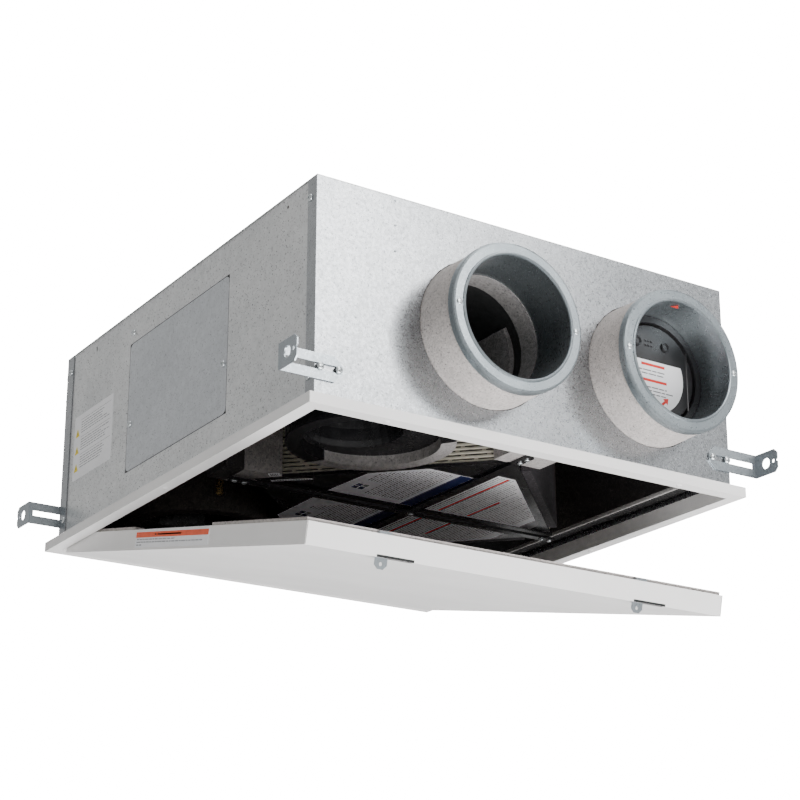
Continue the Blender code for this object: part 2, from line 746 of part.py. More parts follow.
def ports():
    """Foam collar and metal ring for each of the four duct ports."""
    for end, side in (("front", -1), ("back", 1)):
        face = side * (HALF_DEPTH + PORT_PROUD)
        for place, x in zip(("left", "right"), PORT_XS):
            centre = (x, face, PORT_Z)
            root = HALF_DEPTH - SHEET - GAP - (HALF_DEPTH + PORT_PROUD)
            inner = SLEEVE_INNER + SHEET + GAP
            near = -(RING_RECESS + SHEET + GAP)
            bevel = RING_ROUND + COLLAR_EASE
            profile = [
                (inner, near),
                (COLLAR_OUTER - bevel, near),
                (COLLAR_OUTER, near - bevel),
                (COLLAR_OUTER, -(RING_SKIRT + COLLAR_STEP)),
                (COLLAR_ROOT, root),
                (inner, root),
            ]
            bm = bmesh.new()
            add_turned(bm, [(r, side * a) for r, a in profile], "Y", centre)
            finish_object(f"collar_{end}_{place}", bm, "speckled_foam", smooth=True)
            profile = [
                (SLEEVE_INNER, -SLEEVE_LENGTH),
                (SLEEVE_INNER, -RING_LIP),
                (SLEEVE_INNER + RING_EASE * RING_LIP, -RING_EASE * RING_LIP),
                (SLEEVE_INNER + RING_LIP, 0.0),
                (SLEEVE_INNER + (2 - RING_EASE) * RING_LIP, -RING_EASE * RING_LIP),
                (SLEEVE_INNER + 2 * RING_LIP, -RING_RECESS),
                (RING_OUTER - RING_ROUND, -RING_RECESS),
                (RING_OUTER - RING_EASE * RING_ROUND, -RING_RECESS - RING_EASE * RING_ROUND),
                (RING_OUTER, -RING_RECESS - RING_ROUND),
                (RING_OUTER, -RING_SKIRT),
                (RING_OUTER - SHEET, -RING_SKIRT),
                (RING_OUTER - SHEET, -RING_RECESS - SHEET - RING_ROUND),
                (RING_OUTER - SHEET - RING_ROUND, -RING_RECESS - SHEET),
                (SLEEVE_INNER + SHEET, -RING_RECESS - SHEET),
                (SLEEVE_INNER + SHEET, -SLEEVE_LENGTH),
            ]
            bm = bmesh.new()
            add_turned(bm, [(r, side * a) for r, a in profile], "Y", centre)
            finish_object(f"ring_{end}_{place}", bm, "zinc", smooth=True)


def damper():
    """Ring insert in the sleeve of the front right port, and the flap that swings inward from its right-hand edge."""
    y = -(HALF_DEPTH + PORT_PROUD) + DAMPER_DEPTH
    centre = (PORT_XS[1], y, PORT_Z)
    hinge = (PORT_XS[1] + DAMPER_HINGE, y, PORT_Z)
    half = DAMPER_RING_HALF
    bm = bmesh.new()
    profile = [
        (SLEEVE_INNER - GAP, -half),
        (DAMPER_RING_INNER, -half),
        (DAMPER_RING_INNER, half),
        (SLEEVE_INNER - GAP, half),
    ]
    add_turned(bm, profile, "Y", centre)
    ring = finish_object("damper_ring", bm, "black_plastic", smooth=True)
    cut(ring, round_cutter("damper_ring_pin_hole", DAMPER_PIN + GAP, "Z", hinge, DAMPER_PIN_REACH + GAP, steps=12))

    bm = bmesh.new()
    span = [(DAMPER_RADIUS, -0.0010), (DAMPER_RADIUS, 0.0010)]
    add_turned(bm, span, "Y", (-DAMPER_HINGE, 0, 0), closed=False)
    flap = finish_object("damper_flap", bm, "black_plastic", origin=hinge)
    bm = bmesh.new()
    span = [(DAMPER_PIN, -DAMPER_PIN_REACH), (DAMPER_PIN, DAMPER_PIN_REACH)]
    add_turned(bm, span, "Z", (0, 0, 0), closed=False, steps=12)
    join(flap, finish_object("damper_flap_pin", bm, None, origin=hinge))


def cable_bushings():
    """Two round bushings near the left edge of the back panel."""
    for name, z in BUSHINGS:
        bm = bmesh.new()
        add_turned(bm, BUSHING_PROFILE, "Y", (BUSHING_X, HALF_DEPTH + GAP, z), steps=16)
        finish_object(name, bm, "black_plastic", smooth=True)


def hanging_bracket(name, end, side):
    """Slotted L bracket. end is -1 at the front and +1 at the back, side -1 at the left and +1 at the right."""
    inner_y = end * (HALF_DEPTH + GAP)
    outer_y = end * (HALF_DEPTH + GAP + BRACKET_THICK)
    ear_y = end * (HALF_DEPTH + GAP + EAR_REACH)
    tip = side * BRACKET_TIP
    bend = side * BRACKET_BEND
    ear_x = side * (BRACKET_BEND - BRACKET_THICK)
    outline = [(tip, inner_y), (bend, inner_y), (bend, ear_y), (ear_x, ear_y), (ear_x, outer_y), (tip, outer_y)]
    low = BRACKET_Z - BRACKET_HALF
    high = BRACKET_Z + BRACKET_HALF
    origin = Vector((side * BRACKET_SCREW_XS[0], inner_y, BRACKET_Z))
    bm = bmesh.new()
    add_prism(bm, [(x - origin.x, y - origin.y) for x, y in outline], low - origin.z, high - origin.z)
    bracket = finish_object(name, bm, "zinc", origin=origin)

    cuts = bmesh.new()
    slot_in = side * (BRACKET_SCREW_XS[0] - SLOT_BEFORE_SCREW)
    slot_out = side * (BRACKET_BEND - SLOT_BEFORE_BEND)
    low_x, high_x = sorted((slot_in, slot_out))
    low_y, high_y = sorted((inner_y - end * 2 * CUT_PAST, outer_y + end * 2 * CUT_PAST))
    add_box(cuts, (low_x, low_y, BRACKET_Z - SLOT_HALF), (high_x, high_y, BRACKET_Z + SLOT_HALF))
    ear_middle = side * (BRACKET_BEND - BRACKET_THICK / 2)
    for reach, radius, steps in ((EAR_HOLE_REACH, EAR_HOLE, 20), (EAR_SMALL_REACH, EAR_SMALL_HOLE, 10)):
        place = (ear_middle, end * (HALF_DEPTH + GAP + reach), BRACKET_Z)
        add_turned(cuts, [(radius, -CUT_DEEP), (radius, CUT_DEEP)], "X", place, closed=False, steps=steps)
    notch = (
        (ear_y - end * EAR_NOTCH, BRACKET_Z),
        (ear_y + end * CUT_PAST, BRACKET_Z - EAR_NOTCH),
        (ear_y + end * CUT_PAST, BRACKET_Z + EAR_NOTCH),
    )
    add_prism(cuts, notch, ear_middle - CUT_DEEP, ear_middle + CUT_DEEP, axis="X")
    for up in (-1, 1):
        corner_z = BRACKET_Z + up * BRACKET_HALF
        ear_corner = (
            (ear_y + end * CUT_PAST, corner_z - up * (EAR_CHAMFER + CUT_PAST)),
            (ear_y + end * CUT_PAST, corner_z + up * CUT_PAST),
            (ear_y - end * (EAR_CHAMFER + CUT_PAST), corner_z + up * CUT_PAST),
        )
        add_prism(cuts, ear_corner, ear_middle - CUT_DEEP, ear_middle + CUT_DEEP, axis="X")
        tip_corner = (
            (tip - side * CUT_PAST, corner_z - up * (TIP_CHAMFER + CUT_PAST)),
            (tip - side * CUT_PAST, corner_z + up * CUT_PAST),
            (tip + side * (TIP_CHAMFER + CUT_PAST), corner_z + up * CUT_PAST),
        )
        add_prism(cuts, tip_corner, low_y, high_y, axis="Y")
    cut(bracket, finish_object(name + "_cuts", cuts, None))


def hanging_brackets():
    for end_name, end in (("front", -1), ("back", 1)):
        for side_name, side in (("left", -1), ("right", 1)):
            hanging_bracket(f"hanger_{end_name}_{side_name}", end, side)


def to_door(point):
    """A place on the closed door, as seen from the hinge pin."""
    return (point[0], point[1] - HINGE_Y, point[2] - HINGE_Z)


def door_box(bm, low, high):
    add_box(bm, to_door(low), to_door(high))


def door(axis):
    """White pan with its foam lining. The foam has a raised border along its front and its sides."""
    rim_top = DOOR_BOTTOM + DOOR_RIM
    bm = bmesh.new()
    door_box(bm, (-DOOR_HALF, DOOR_FRONT, DOOR_BOTTOM), (DOOR_HALF, DOOR_BACK, rim_top))
    pan = finish_object("door_pan", bm, "white_paint", axis)
    cuts = bmesh.new()
    inside = DOOR_HALF - SHEET
    low = (-inside, DOOR_FRONT + SHEET, DOOR_BOTTOM + SHEET)
    door_box(cuts, low, (inside, DOOR_BACK - SHEET, rim_top + 0.01))
    cut(pan, finish_object("door_pan_hollow", cuts, None, axis))
    slots = bmesh.new()
    for x in LATCH_XS:
        low = (x - LATCH_SLOT / 2, LATCH_PLANE - SHEET - LATCH_PLAY, DOOR_BOTTOM - 0.002)
        door_box(slots, low, (x + LATCH_SLOT / 2, LATCH_PLANE + LATCH_PLAY, DOOR_BOTTOM + 0.003))
    cut(pan, finish_object("door_pan_slots", slots, None, axis))

    foam_half = inside - 0.0005
    foam_front = DOOR_FRONT + 0.0036
    foam_back = DOOR_BACK - SHEET - 0.0005
    foam_low = DOOR_BOTTOM + SHEET + GAP
    foam_high = rim_top + DOOR_FOAM_PROUD
    bm = bmesh.new()
    door_box(bm, (-foam_half, foam_front, foam_low), (foam_half, foam_back, foam_high))
    foam = finish_object("door_foam", bm, "speckled_foam", axis)
    cuts = bmesh.new()
    border = foam_half - DOOR_FOAM_BORDER
    low = (-border, foam_front + DOOR_FOAM_BORDER, foam_low + 0.0125)
    door_box(cuts, low, (border, foam_back + 0.01, foam_high + 0.01))
    cut(foam, finish_object("door_foam_recess", cuts, None, axis))
    cuts = bmesh.new()
    low = (-foam_half - 0.01, LABEL_GAP_FRONT, rim_top - 0.0010)
    door_box(cuts, low, (-border + 0.001, LABEL_GAP_BACK, foam_high + 0.01))
    cut(foam, finish_object("door_foam_gap", cuts, None, axis))


def rolled_leaf(side, near, far, inner):
    """Outline of a hinge leaf in (y, z) from the pin: a sheet rolled round the pin, a strap and an upright plate.
    side is +1 where the plate is behind the pin. near and far are the plate's faces, inner the roll's radius."""
    first = math.radians(90)
    last = math.radians(380)
    steps = 12
    turns = [first + (last - first) * i / steps for i in range(steps + 1)]
    outline = [(0.0, inner), (far, inner), (far, LEAF_TOP), (near, LEAF_TOP), (near, KNUCKLE_OUTER)]
    outline += [(KNUCKLE_OUTER * math.cos(t), KNUCKLE_OUTER * math.sin(t)) for t in turns]
    outline += [(inner * math.cos(t), inner * math.sin(t)) for t in reversed(turns[1:])]
    return [(side * y, z) for y, z in outline]


def hinges(axis):
    """Two hinges at the back edge. Each pin is held tight in its casing leaf."""
    lip_face = HALF_DEPTH - LIP_INSIDE - GAP - HINGE_Y
    rim_face = HINGE_Y - DOOR_BACK - GAP
    casing_leaf = rolled_leaf(1, lip_face - SHEET, lip_face, PIN_RADIUS - 0.0002)
    door_leaf = rolled_leaf(-1, rim_face - SHEET, rim_face, KNUCKLE_INNER)
    for place, x in zip(("left", "right"), HINGE_XS):
        origin = (x, HINGE_Y, HINGE_Z)
        bm = bmesh.new()
        add_prism(bm, casing_leaf, -KNUCKLE_LENGTH, -GAP / 2, axis="X")
        leaf = finish_object("hinge_casing_" + place, bm, "zinc", origin=origin)
        bm = bmesh.new()
        span = [(PIN_RADIUS, -KNUCKLE_LENGTH), (PIN_RADIUS, KNUCKLE_LENGTH)]
        add_turned(bm, span, "X", (0, 0, 0), closed=False, steps=12)
        join(leaf, finish_object("hinge_pin_" + place, bm, None, origin=origin))
        bm = bmesh.new()
        add_prism(bm, door_leaf, GAP / 2, KNUCKLE_LENGTH, axis="X")
        finish_object("hinge_door_" + place, bm, "zinc", axis, (x, 0.0, 0.0))


def latches(axis):
    """Sliding latch plates. The tab hangs through the door's slot, and the finger passes over a keeper."""
    finger_low = DOOR_BOTTOM + DOOR_RIM + GAP
    finger_high = finger_low + LATCH_FINGER_THICK
    back = LATCH_PLANE
    front = LATCH_PLANE - SHEET
    tab_low = DOOR_BOTTOM - LATCH_DROP
    outline = [
        (front, tab_low),
        (back, tab_low),
        (back, finger_high),
        (LATCH_FINGER, finger_high),
        (LATCH_FINGER, finger_low),
        (front, finger_low),
    ]
    for name, x in zip(("latch_left", "latch_right"), LATCH_XS):
        middle = x - LATCH_SLOT / 2 + GAP + LATCH_TAB / 2
        origin = Vector(to_door((middle, back, DOOR_BOTTOM)))
        shape = [(y - HINGE_Y - origin.y, z - HINGE_Z - origin.z) for y, z in outline]
        bm = bmesh.new()
        add_prism(bm, shape, -LATCH_TAB / 2, LATCH_TAB / 2, axis="X")
        latch = finish_object(name, bm, "zinc", axis, origin)
        cuts = bmesh.new()
        hole = to_door((middle, back, tab_low + LATCH_HOLE_UP))
        add_turned(cuts, [(LATCH_HOLE, -CUT_DEEP), (LATCH_HOLE, CUT_DEEP)], "Y", hole, closed=False, steps=10)
        for side in (-1, 1):
            edge = middle + side * LATCH_TAB / 2
            triangle = (
                (edge + side * CUT_PAST, tab_low + LATCH_CORNER + CUT_PAST),
                (edge + side * CUT_PAST, tab_low - CUT_PAST),
                (edge - side * (LATCH_CORNER + CUT_PAST), tab_low - CUT_PAST),
            )
            placed = [(a, b - HINGE_Z) for a, b in triangle]
            add_prism(cuts, placed, hole[1] - CUT_DEEP, hole[1] + CUT_DEEP, axis="Y")
        cut(latch, finish_object(name + "_cuts", cuts, None))


def main():
    clear_scene()
    top_panel()
    end_panel("front_panel", -1)
    end_panel("back_panel", 1)
    left_panel()
    side_panel("right_panel", 1)
    access_cover()
    ceiling_flange()
    liner()
    control_box()
    core()
    corner_holders()
    filters()
    retaining_bars()
    fans()
    air_sensor()
    ports()
    damper()
    cable_bushings()
    hanging_brackets()
    axis = axis_empty("door_axis", (0.0, HINGE_Y, HINGE_Z), DOOR_OPEN)
    door(axis)
    hinges(axis)
    latches(axis)


main()
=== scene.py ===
"""Looks of the ceiling heat recovery unit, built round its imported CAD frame."""

import math

import bmesh
import bpy
from mathutils import Matrix, Vector


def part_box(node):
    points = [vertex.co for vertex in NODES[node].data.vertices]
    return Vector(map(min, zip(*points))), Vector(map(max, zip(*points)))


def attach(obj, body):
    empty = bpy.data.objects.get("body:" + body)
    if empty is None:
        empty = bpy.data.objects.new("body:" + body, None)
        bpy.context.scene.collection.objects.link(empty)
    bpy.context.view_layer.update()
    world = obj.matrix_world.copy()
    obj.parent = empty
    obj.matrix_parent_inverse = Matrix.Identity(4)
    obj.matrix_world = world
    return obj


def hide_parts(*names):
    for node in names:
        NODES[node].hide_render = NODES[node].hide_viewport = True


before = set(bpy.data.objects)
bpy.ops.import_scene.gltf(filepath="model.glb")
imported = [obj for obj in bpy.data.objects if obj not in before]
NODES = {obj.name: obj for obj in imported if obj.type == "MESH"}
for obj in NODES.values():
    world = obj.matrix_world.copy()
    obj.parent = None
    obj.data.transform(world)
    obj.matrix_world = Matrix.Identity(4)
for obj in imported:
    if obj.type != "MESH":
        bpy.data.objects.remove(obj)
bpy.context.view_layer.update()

# Camera, below the unit and in front of its left corner; the floor is for the views from above.
CAMERA_PLACE = (-1.1013, -1.7265, -0.6166)
CAMERA_HEADING = math.radians(33.199)
CAMERA_PITCH = math.radians(17.854)
CAMERA_LENS = 85.931
CAMERA_SHIFT = 0.10
FLOOR_Z = -2.4

# Sizes shared with the CAD, in metres.
PANEL_LEFT = -0.2572
RETURN_FACE = 0.2585
FRONT_FACE = -0.2930
PORT_X = (-0.0615, 0.1485)
PORT_Z = 0.105
PORT_FACE = 0.3510
SLEEVE_INNER = 0.0635
SLEEVE_LENGTH = 0.0560
RING_OUTER = 0.0777
RING_RECESS = 0.0016
RING_LIP = 0.0018
RING_EASE = 0.3
RING_ROUND = 0.0025
RING_SKIRT = 0.0110
RING_FACE = PORT_FACE - RING_RECESS
SHEET = 0.0010
GAP = 0.0003
COLLAR_OUTER = 0.0762
COLLAR_ROOT = 0.0780
COLLAR_END = 0.2917
COLLAR_EASE = 0.0005
COLLAR_STEP = 0.0010
SCROLL_X = -0.1290
SCROLL_Y = 0.1870

# Visual parts behind the ports: inner and outer radius, and both ends' distances from the middle.
THROAT_RADII = (0.0624, 0.0633)
THROAT_ENDS = (0.2948, 0.2690)
# The duct's dark tube is painted shade for the void behind the left ports.
DUCT_SHADE_RADII = (0.0629, 0.0634)
DUCT_SHADE_ENDS = (0.2688, 0.1925)
SHOULDER_RADII = (0.0575, 0.0628)
SHOULDER_ENDS = (0.2560, 0.1950)
SHOULDER_ANGLES = (-80, 32)

# The front scroll's black finish: the way across its edge, how far that is from the axis, and its top.
FOOT_TURN = (0.834, 0.552)
FOOT_EDGE = 0.0277
FOOT_TOP = 0.0352

HINGE_Y = 0.2825
HINGE_Z = -0.0090
DOOR_OPEN = math.radians(12.43)
DOOR_SIDE = -0.254
DOOR_FRONT = -0.2868
DOOR_LOW = -0.0145
DOOR_HIGH = 0.0079
LATCH_XS = (-0.1553, 0.1560)

# Painted shade in a latch slot, on the closed door: how far it goes to each side, its two sheets and their
# height.
SLOT_REACH = 0.0245
SLOT_SHEETS = ((-0.28578, -0.28552), (-0.28352, -0.28326))
SLOT_LOW = -0.0133
SLOT_HIGH = 0.0060
SLOT_EDGE = (-0.0205, 0.0215)
SLOT_EDGE_TOP = 0.0026
SLOT_MOUTH = (-0.0210, -0.28385)
SLOT_MOUTH_SIZE = (0.0420, 0.0030)

# Core
STACK_PITCH = 0.0048
PLATE_Z = 0.012
CORE_X = 0.0345
CORE_Y = -0.0120

# Screw heads and dimples: radius and height.
FRONT_DIMPLE = (0.0014, 0.0004)
FLANGE_DIMPLE = (0.0032, 0.0012)
PANEL_SCREW = (0.0038, 0.0024)
RING_SCREW = (0.0032, 0.0014)
CLAMP_SCREW = (0.0038, 0.0027)
BAR_SCREW = (0.0030, 0.0018)

# Screws and marks on the casing: places, and for screws the turn of the cross in degrees.
COVER_SCREWS = ((0.1115, 0.2022, 20), (0.1120, 0.0930, 62), (-0.1072, 0.0930, 8))
RETURN_SCREWS = ((-0.281, 0.2080, 35), (-0.281, 0.0236, 70), (0.281, 0.2080, 12), (0.281, 0.0236, 50))
RING_SCREW_REACH = 0.0706
CLAMP_SCREWS = ((0.2334, 15), (0.2535, 55))
CLAMP_FACE = 0.2951
CLAMP_Z = 0.0305
WIDE_BAR_SCREWS = ((-0.190, 10), (-0.178, 50), (CORE_X, 30), (0.218, 65), (0.230, 20))
WIDE_BAR_FACE = 0.0054
DEEP_BAR_SCREWS = ((-0.230, 15), (-0.218, 40), (0.194, 70), (0.206, 25))
DEEP_BAR_FACE = 0.0087
FRONT_DIMPLES = ((-0.169, 0.2237), (-0.169, 0.1972), (-0.169, 0.1694), (0.244, 0.221))
FLANGE_DIMPLES = ((-0.2620, 0.005), (-0.181, -0.2970), (0.182, -0.2970), (0.2620, -0.05))
FLANGE_FACE = -0.0110

# Stickers. A sticker's size is its width and height.
STICKER_THICK = 0.0002
INK_THICK = 0.00006
FILM_THICK = 0.00012
DRAW_RANGE = 2147483648
SIDE_STICKER = (0.105, 0.079)
DOOR_STICKER = (0.176, 0.0176)
BAND_XS = (0.0135, 0.0292)

# Left stickers on the core: name, outline, the navy band's ends, and the print's start and reach.
LEFT_STICKERS = (
    (
        "front",
        ((-0.0793, -0.0205), (-0.0740, -0.0940), (-0.0280, -0.1430), (0.0295, -0.1420), (0.0295, -0.0205)),
        (-0.1415, -0.0215),
        -0.030,
        0.108,
    ),
    (
        "back",
        ((-0.0795, -0.0030), (-0.0795, 0.0900), (-0.0720, 0.0985), (0.0295, 0.0985), (0.0295, -0.0030)),
        (0.0, 0.0980),
        0.092,
        0.088,
    ),
)

# Right stickers on the core: name, outline and seed.
RIGHT_STICKERS = (
    (
        "front",
        ((0.0478, -0.0205), (0.0478, -0.1620), (0.0710, -0.1612), (0.1800, -0.0520), (0.1800, -0.0205)),
        33,
    ),
    (
        "back",
        ((0.0478, -0.0030), (0.0478, 0.0950), (0.1300, 0.0950), (0.1820, 0.0400), (0.1820, -0.0030)),
        57,
    ),
)

# Grey patches beyond the right stickers' edges: painted reflection on the glossy black plate.
SHEEN_PATCHES = (
    ((0.1800, -0.0540), (0.1960, -0.0360), (0.1960, -0.0205), (0.1800, -0.0205)),
    ((0.1820, -0.0030), (0.1960, -0.0030), (0.1900, 0.0300), (0.1820, 0.0380)),
)

# Area lights: name, place, what it points at, size and power.
LIGHTS = (
    ("key", (0.9, -3.0, 1.5), (0.0, 0.0, 0.1), (1.6, 1.2), 52.0),
    ("below", (0.3, -1.7, -2.1), (0.0, -0.1, 0.0), (2.6, 1.8), 205.0),
    ("above", (0.2, -0.6, 2.6), (0.0, 0.0, 0.2), (2.0, 2.0), 55.0),
)
WORLD_LEFT = (0.47, 0.468, 0.46)
WORLD_RIGHT = (0.84, 0.85, 0.86)
BACKDROP_STRENGTH = 18.0


# ---------------------------------------------------------------- materials


def start_material(name, roughness, metallic=0.0, specular=0.5):
    """A new material, with its tree, its shader and the object's own coordinates."""
    material = bpy.data.materials.new(name)
    material.use_nodes = True
    tree = material.node_tree
    shader = tree.nodes["Principled BSDF"]
    shader.inputs["Roughness"].default_value = roughness
    shader.inputs["Metallic"].default_value = metallic
    shader.inputs["Specular IOR Level"].default_value = specular
    place = tree.nodes.new("ShaderNodeTexCoord").outputs["Object"]
    return material, tree, shader, place


def noise(tree, place, scale, detail=3.0, roughness=0.55):
    node = tree.nodes.new("ShaderNodeTexNoise")
    node.inputs["Scale"].default_value = scale
    node.inputs["Detail"].default_value = detail
    node.inputs["Roughness"].default_value = roughness
    tree.links.new(place, node.inputs["Vector"])
    return node.outputs[0]


def cells(tree, place, scale, output="Distance", feature="F1"):
    node = tree.nodes.new("ShaderNodeTexVoronoi")
    node.feature = feature
    node.inputs["Scale"].default_value = scale
    tree.links.new(place, node.inputs["Vector"])
    return node.outputs[output]


def remap(tree, value, low, high, new_low=0.0, new_high=1.0):
    """Maps a value from one range to another, and keeps it inside the new one."""
    node = tree.nodes.new("ShaderNodeMapRange")
    node.inputs["From Min"].default_value = low
    node.inputs["From Max"].default_value = high
    node.inputs["To Min"].default_value = new_low
    node.inputs["To Max"].default_value = new_high
    tree.links.new(value, node.inputs["Value"])
    return node.outputs["Result"]


def combine(tree, operation, first, second):
    """Works one value out of two sockets or numbers, by the named operation."""
    node = tree.nodes.new("ShaderNodeMath")
    node.operation = operation
    for socket, value in zip(node.inputs, (first, second)):
        if isinstance(value, float):
            socket.default_value = value
        else:
            tree.links.new(value, socket)
    return node.outputs[0]


def tint(tree, factor, first, second, blend="MIX"):
    """Blends two colours, each a socket or a tuple."""
    node = tree.nodes.new("ShaderNodeMix")
    node.data_type = "RGBA"
    node.blend_type = blend
    for socket, value in ((node.inputs[0], factor), (node.inputs[6], first), (node.inputs[7], second)):
        if isinstance(value, float):
            socket.default_value = value
        elif isinstance(value, tuple):
            socket.default_value = (*value, 1.0)
        else:
            tree.links.new(value, socket)
    return node.outputs[2]


def bump(tree, shader, height, strength, distance):
    node = tree.nodes.new("ShaderNodeBump")
    node.inputs["Strength"].default_value = strength
    node.inputs["Distance"].default_value = distance
    tree.links.new(height, node.inputs["Height"])
    tree.links.new(node.outputs["Normal"], shader.inputs["Normal"])


def galvanised(name, light, dark, roughness, specks=1.0, metallic=0.9):
    """Hot-dip galvanised sheet: faint spangle, slow tone changes and fine dark specks."""
    material, tree, shader, place = start_material(name, roughness, metallic)
    slow = remap(tree, noise(tree, place, 7.0, 4.0), 0.35, 0.65)
    base = tint(tree, slow, dark, light)
    spangle = remap(tree, cells(tree, place, 190.0, "Color"), 0.0, 1.0, 0.93, 1.05)
    base = tint(tree, 1.0, base, spangle, "MULTIPLY")
    streak = remap(tree, noise(tree, place, 90.0, 5.0, 0.7), 0.35, 0.7, 0.95, 1.04)
    base = tint(tree, 1.0, base, streak, "MULTIPLY")
    fleck = remap(tree, noise(tree, place, 620.0, 1.0, 0.5), 0.63, 0.72, 0.0, 0.62 * specks)
    base = tint(tree, fleck, base, (0.12, 0.13, 0.14))
    tree.links.new(base, shader.inputs["Base Color"])
    fine = noise(tree, place, 260.0, 4.0)
    rough = remap(tree, fine, 0.3, 0.7, roughness - 0.05, roughness + 0.08)
    tree.links.new(rough, shader.inputs["Roughness"])
    bump(tree, shader, fine, 0.10, 0.0003)
    return material


def zinc(name, light, dark, roughness):
    """Smooth electro-plated zinc with fine draw marks."""
    material, tree, shader, place = start_material(name, roughness, 0.92)
    slow = remap(tree, noise(tree, place, 22.0, 3.0), 0.35, 0.65)
    base = tint(tree, slow, dark, light)
    fleck = remap(tree, noise(tree, place, 700.0, 1.0), 0.68, 0.78, 0.0, 0.4)
    base = tint(tree, fleck, base, (0.16, 0.17, 0.18))
    tree.links.new(base, shader.inputs["Base Color"])
    fine = noise(tree, place, 480.0, 2.0)
    rough = remap(tree, fine, 0.3, 0.7, roughness - 0.04, roughness + 0.08)
    tree.links.new(rough, shader.inputs["Roughness"])
    bump(tree, shader, fine, 0.06, 0.0002)
    return material


def paint(name, light, dark, roughness):
    """Baked white paint: faint orange peel and slow tone changes."""
    material, tree, shader, place = start_material(name, roughness, 0.0, 0.45)
    slow = remap(tree, noise(tree, place, 9.0, 3.0), 0.35, 0.65)
    base = tint(tree, slow, dark, light)
    dust = remap(tree, noise(tree, place, 520.0, 2.0), 0.66, 0.8, 0.0, 0.18)
    base = tint(tree, dust, base, (0.42, 0.41, 0.40))
    tree.links.new(base, shader.inputs["Base Color"])
    peel = noise(tree, place, 420.0, 2.0)
    bump(tree, shader, peel, 0.12, 0.0003)
    return material


def bead_foam(name, light, dark, fleck_colour, fleck_amount, roughness=0.85):
    """Expanded polypropylene: fused beads, each its own shade, and dark flecks between them."""
    material, tree, shader, place = start_material(name, roughness, 0.0, 0.3)
    shade = remap(tree, cells(tree, place, 420.0, "Color"), 0.0, 1.0)
    base = tint(tree, shade, dark, light)
    large = remap(tree, noise(tree, place, 30.0, 3.0), 0.35, 0.65, 0.93, 1.05)
    base = tint(tree, 1.0, base, large, "MULTIPLY")
    fleck = remap(tree, noise(tree, place, 640.0, 2.0, 0.6), 0.60, 0.67, 0.0, fleck_amount)
    base = tint(tree, fleck, base, fleck_colour)
    tree.links.new(base, shader.inputs["Base Color"])
    edge = remap(tree, cells(tree, place, 420.0, "Distance", "DISTANCE_TO_EDGE"), 0.0, 0.25)
    bump(tree, shader, edge, 0.35, 0.0004)
    return material


def two_tone_foam(name):
    """Grey bead foam, with a black glossy finish on the near side of the front scroll's foot."""
    material = bead_foam(name, *GREY_TONES)
    tree = material.node_tree
    shader = tree.nodes["Principled BSDF"]
    base = shader.inputs["Base Color"].links[0].from_socket
    geometry = tree.nodes.new("ShaderNodeNewGeometry")
    split = tree.nodes.new("ShaderNodeSeparateXYZ")
    tree.links.new(geometry.outputs["Position"], split.inputs["Vector"])
    along = tree.nodes.new("ShaderNodeVectorMath")
    along.operation = "DOT_PRODUCT"
    along.inputs[1].default_value = (*FOOT_TURN, 0.0)
    tree.links.new(geometry.outputs["Position"], along.inputs[0])
    edge = SCROLL_X * FOOT_TURN[0] - SCROLL_Y * FOOT_TURN[1] + FOOT_EDGE
    near = remap(tree, along.outputs["Value"], edge - 0.0005, edge + 0.0005, 1.0, 0.0)
    foot = remap(tree, split.outputs["Z"], FOOT_TOP - 0.0002, FOOT_TOP + 0.0002, 1.0, 0.0)
    mask = combine(tree, "MULTIPLY", near, foot)
    tree.links.new(tint(tree, mask, base, (0.005, 0.005, 0.0055)), shader.inputs["Base Color"])
    tree.links.new(remap(tree, mask, 0.0, 1.0, 0.8, 0.25), shader.inputs["Roughness"])
    return material


def dark_foam(name, dark, light, fleck_amount):
    """Black expanded foam with small pale specks and shallow round moulding marks."""
    material, tree, shader, place = start_material(name, 0.62, 0.0, 0.45)
    shade = remap(tree, cells(tree, place, 380.0, "Color"), 0.0, 1.0)
    base = tint(tree, shade, dark, light)
    fleck = remap(tree, noise(tree, place, 560.0, 1.0), 0.66, 0.72, 0.0, fleck_amount)
    base = tint(tree, fleck, base, (0.13, 0.12, 0.125))
    tree.links.new(base, shader.inputs["Base Color"])
    edge = remap(tree, cells(tree, place, 380.0, "Distance", "DISTANCE_TO_EDGE"), 0.0, 0.25)
    mark = remap(tree, cells(tree, place, 34.0), 0.10, 0.13)
    height = combine(tree, "ADD", edge, mark)
    bump(tree, shader, height, 0.4, 0.0004)
    return material


def gloss(name, colour, roughness, specular=0.5):
    """Moulded dark plastic: soft haze and light scuffs."""
    material, tree, shader, place = start_material(name, roughness, 0.0, specular)
    slow = remap(tree, noise(tree, place, 14.0, 4.0), 0.35, 0.65)
    lighter = tuple(1.7 * c + 0.002 for c in colour)
    base = tint(tree, slow, colour, lighter)
    scuff = remap(tree, noise(tree, place, 240.0, 5.0, 0.75), 0.66, 0.84, 0.0, 0.18)
    base = tint(tree, scuff, base, (0.05, 0.05, 0.052))
    tree.links.new(base, shader.inputs["Base Color"])
    rough = remap(tree, noise(tree, place, 60.0, 5.0), 0.3, 0.7, roughness - 0.06, roughness + 0.12)
    tree.links.new(rough, shader.inputs["Roughness"])
    bump(tree, shader, noise(tree, place, 300.0, 2.0), 0.05, 0.0002)
    return material


def plain(name, colour, roughness, spread=0.12, scale=120.0, metallic=0.0):
    """Printed film, paper, filter fleece or resin: one tone with a fine mottle."""
    material, tree, shader, place = start_material(name, roughness, metallic, 0.4)
    mottle = remap(tree, noise(tree, place, scale, 4.0, 0.65), 0.3, 0.7)
    low = tuple(c * (1.0 - spread) for c in colour)
    high = tuple(min(1.0, c * (1.0 + spread)) for c in colour)
    tree.links.new(tint(tree, mottle, low, high), shader.inputs["Base Color"])
    bump(tree, shader, noise(tree, place, scale * 3.0, 2.0), 0.08, 0.0002)
    return material


